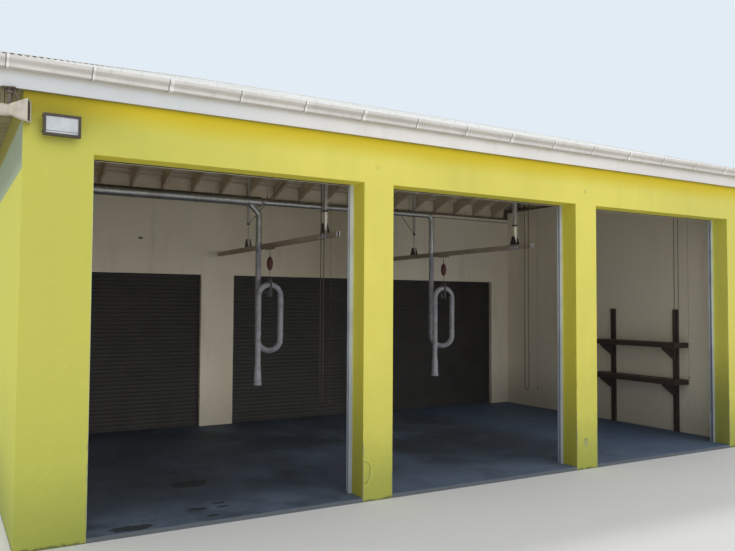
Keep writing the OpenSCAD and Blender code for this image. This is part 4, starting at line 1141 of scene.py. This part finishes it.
bracket_plate(HORN_POST, 0.06, 0.07, plate_z, plate_z + 0.008)
for side in (-1, 1):
    arm = HORN_POST + HORN_SIDE * side * ARM_SIDE
    bracket_plate(arm, 0.016, 0.003, HORN_MOUTH.z + 0.03, plate_z)
    bracket.turned((*arm.xy, HORN_MOUTH.z + 0.07), HORN_SIDE * side, [
        (0.012, -0.012), (0.014, 0.0), (0.014, 0.008), (0.006, 0.012), (0.006, 0.026), (0.003, 0.028)], 10)
    bracket.box((arm.x - 0.022, arm.y - 0.022, plate_z - 0.05),
                (arm.x + 0.022, arm.y + 0.022, plate_z - 0.028), 0.004)
for ahead_by, lift in ((-0.03, -0.03), (0.02, -0.05), (0.045, -0.06)):
    stay = HORN_POST + HORN_AHEAD * ahead_by
    bracket.rod((*stay.xy, HORN_HIGH.z), (*stay.xy, plate_z + lift), 0.008, 8)
bracket.tube([HORN_POST + HORN_AHEAD * a + UP * (z - HORN_MOUTH.z) for a, z in (
    (0.0, plate_z - 0.02), (0.05, plate_z - 0.04), (0.09, HORN_MOUTH.z + 0.070))], 0.010, 8)
bracket.piece("horn_bracket", "rack_steel", BRACKET_STEEL, smooth=30)


# Stage: floor, world and lamps

FLOOR_HALF = 150.0
FLOOR_DROP = 0.001
floor_mesh = bpy.data.meshes.new("studio_floor")
floor_corners = [(x * FLOOR_HALF, y * FLOOR_HALF, -FLOOR_DROP) for x, y in CORNERS]
floor_mesh.from_pydata(floor_corners, [], [(0, 1, 2, 3)])
floor = bpy.data.objects.new("studio_floor", floor_mesh)
bpy.context.scene.collection.objects.link(floor)
floor_look = Look("studio_floor")
floor_look.color = (224, 225, 226)
floor_mesh.materials.append(floor_look.done(0.9, constants={"Specular IOR Level": 0.1}))

world = bpy.data.worlds.new("studio_world")
bpy.context.scene.world = world
world.use_nodes = True
tree = world.node_tree
tree.nodes.clear()
# The camera, mirrors and glass see the backdrop. All else is lit by a dimmer sky
rays = add_node(tree, "ShaderNodeLightPath").outputs
mirror = Field(tree, rays["Is Camera Ray"]) | Field(tree, rays["Is Glossy Ray"])
seen = add_node(tree, "ShaderNodeBackground", {"Color": (226, 236, 245), "Strength": 1.0})
lit = add_node(tree, "ShaderNodeBackground", {"Color": (242, 244, 248), "Strength": 0.69})
choice = add_node(tree, "ShaderNodeMixShader", {
    0: mirror | Field(tree, rays["Is Transmission Ray"]), 1: lit.outputs[0], 2: seen.outputs[0]})
add_node(tree, "ShaderNodeOutputWorld", {"Surface": choice.outputs[0]})

# Each lamp: the direction that it shines from, its strength, its angular size in radians and its colour
LAMPS = {
    "key": ((0.30, -1.0, 0.50), 1.12, 1.0, (1.0, 0.98, 0.95)),
    "fill": ((1.0, 0.35, 0.6), 0.35, 1.0, (1.0, 1.0, 1.0)),
    "side": ((-1.0, 0.55, 1.15), 1.05, 0.1, (1.0, 0.98, 0.93)),
}
for lamp_name, (source, strength, width, tint) in LAMPS.items():
    lamp = bpy.data.lights.new(lamp_name, "SUN")
    lamp.energy = strength
    lamp.angle = width
    lamp.color = tint
    lamp_object = bpy.data.objects.new(lamp_name, lamp)
    lamp_object.rotation_euler = Vector(source).to_track_quat("Z", "Y").to_euler()
    bpy.context.scene.collection.objects.link(lamp_object)

bpy.context.scene.view_settings.view_transform = "Standard"
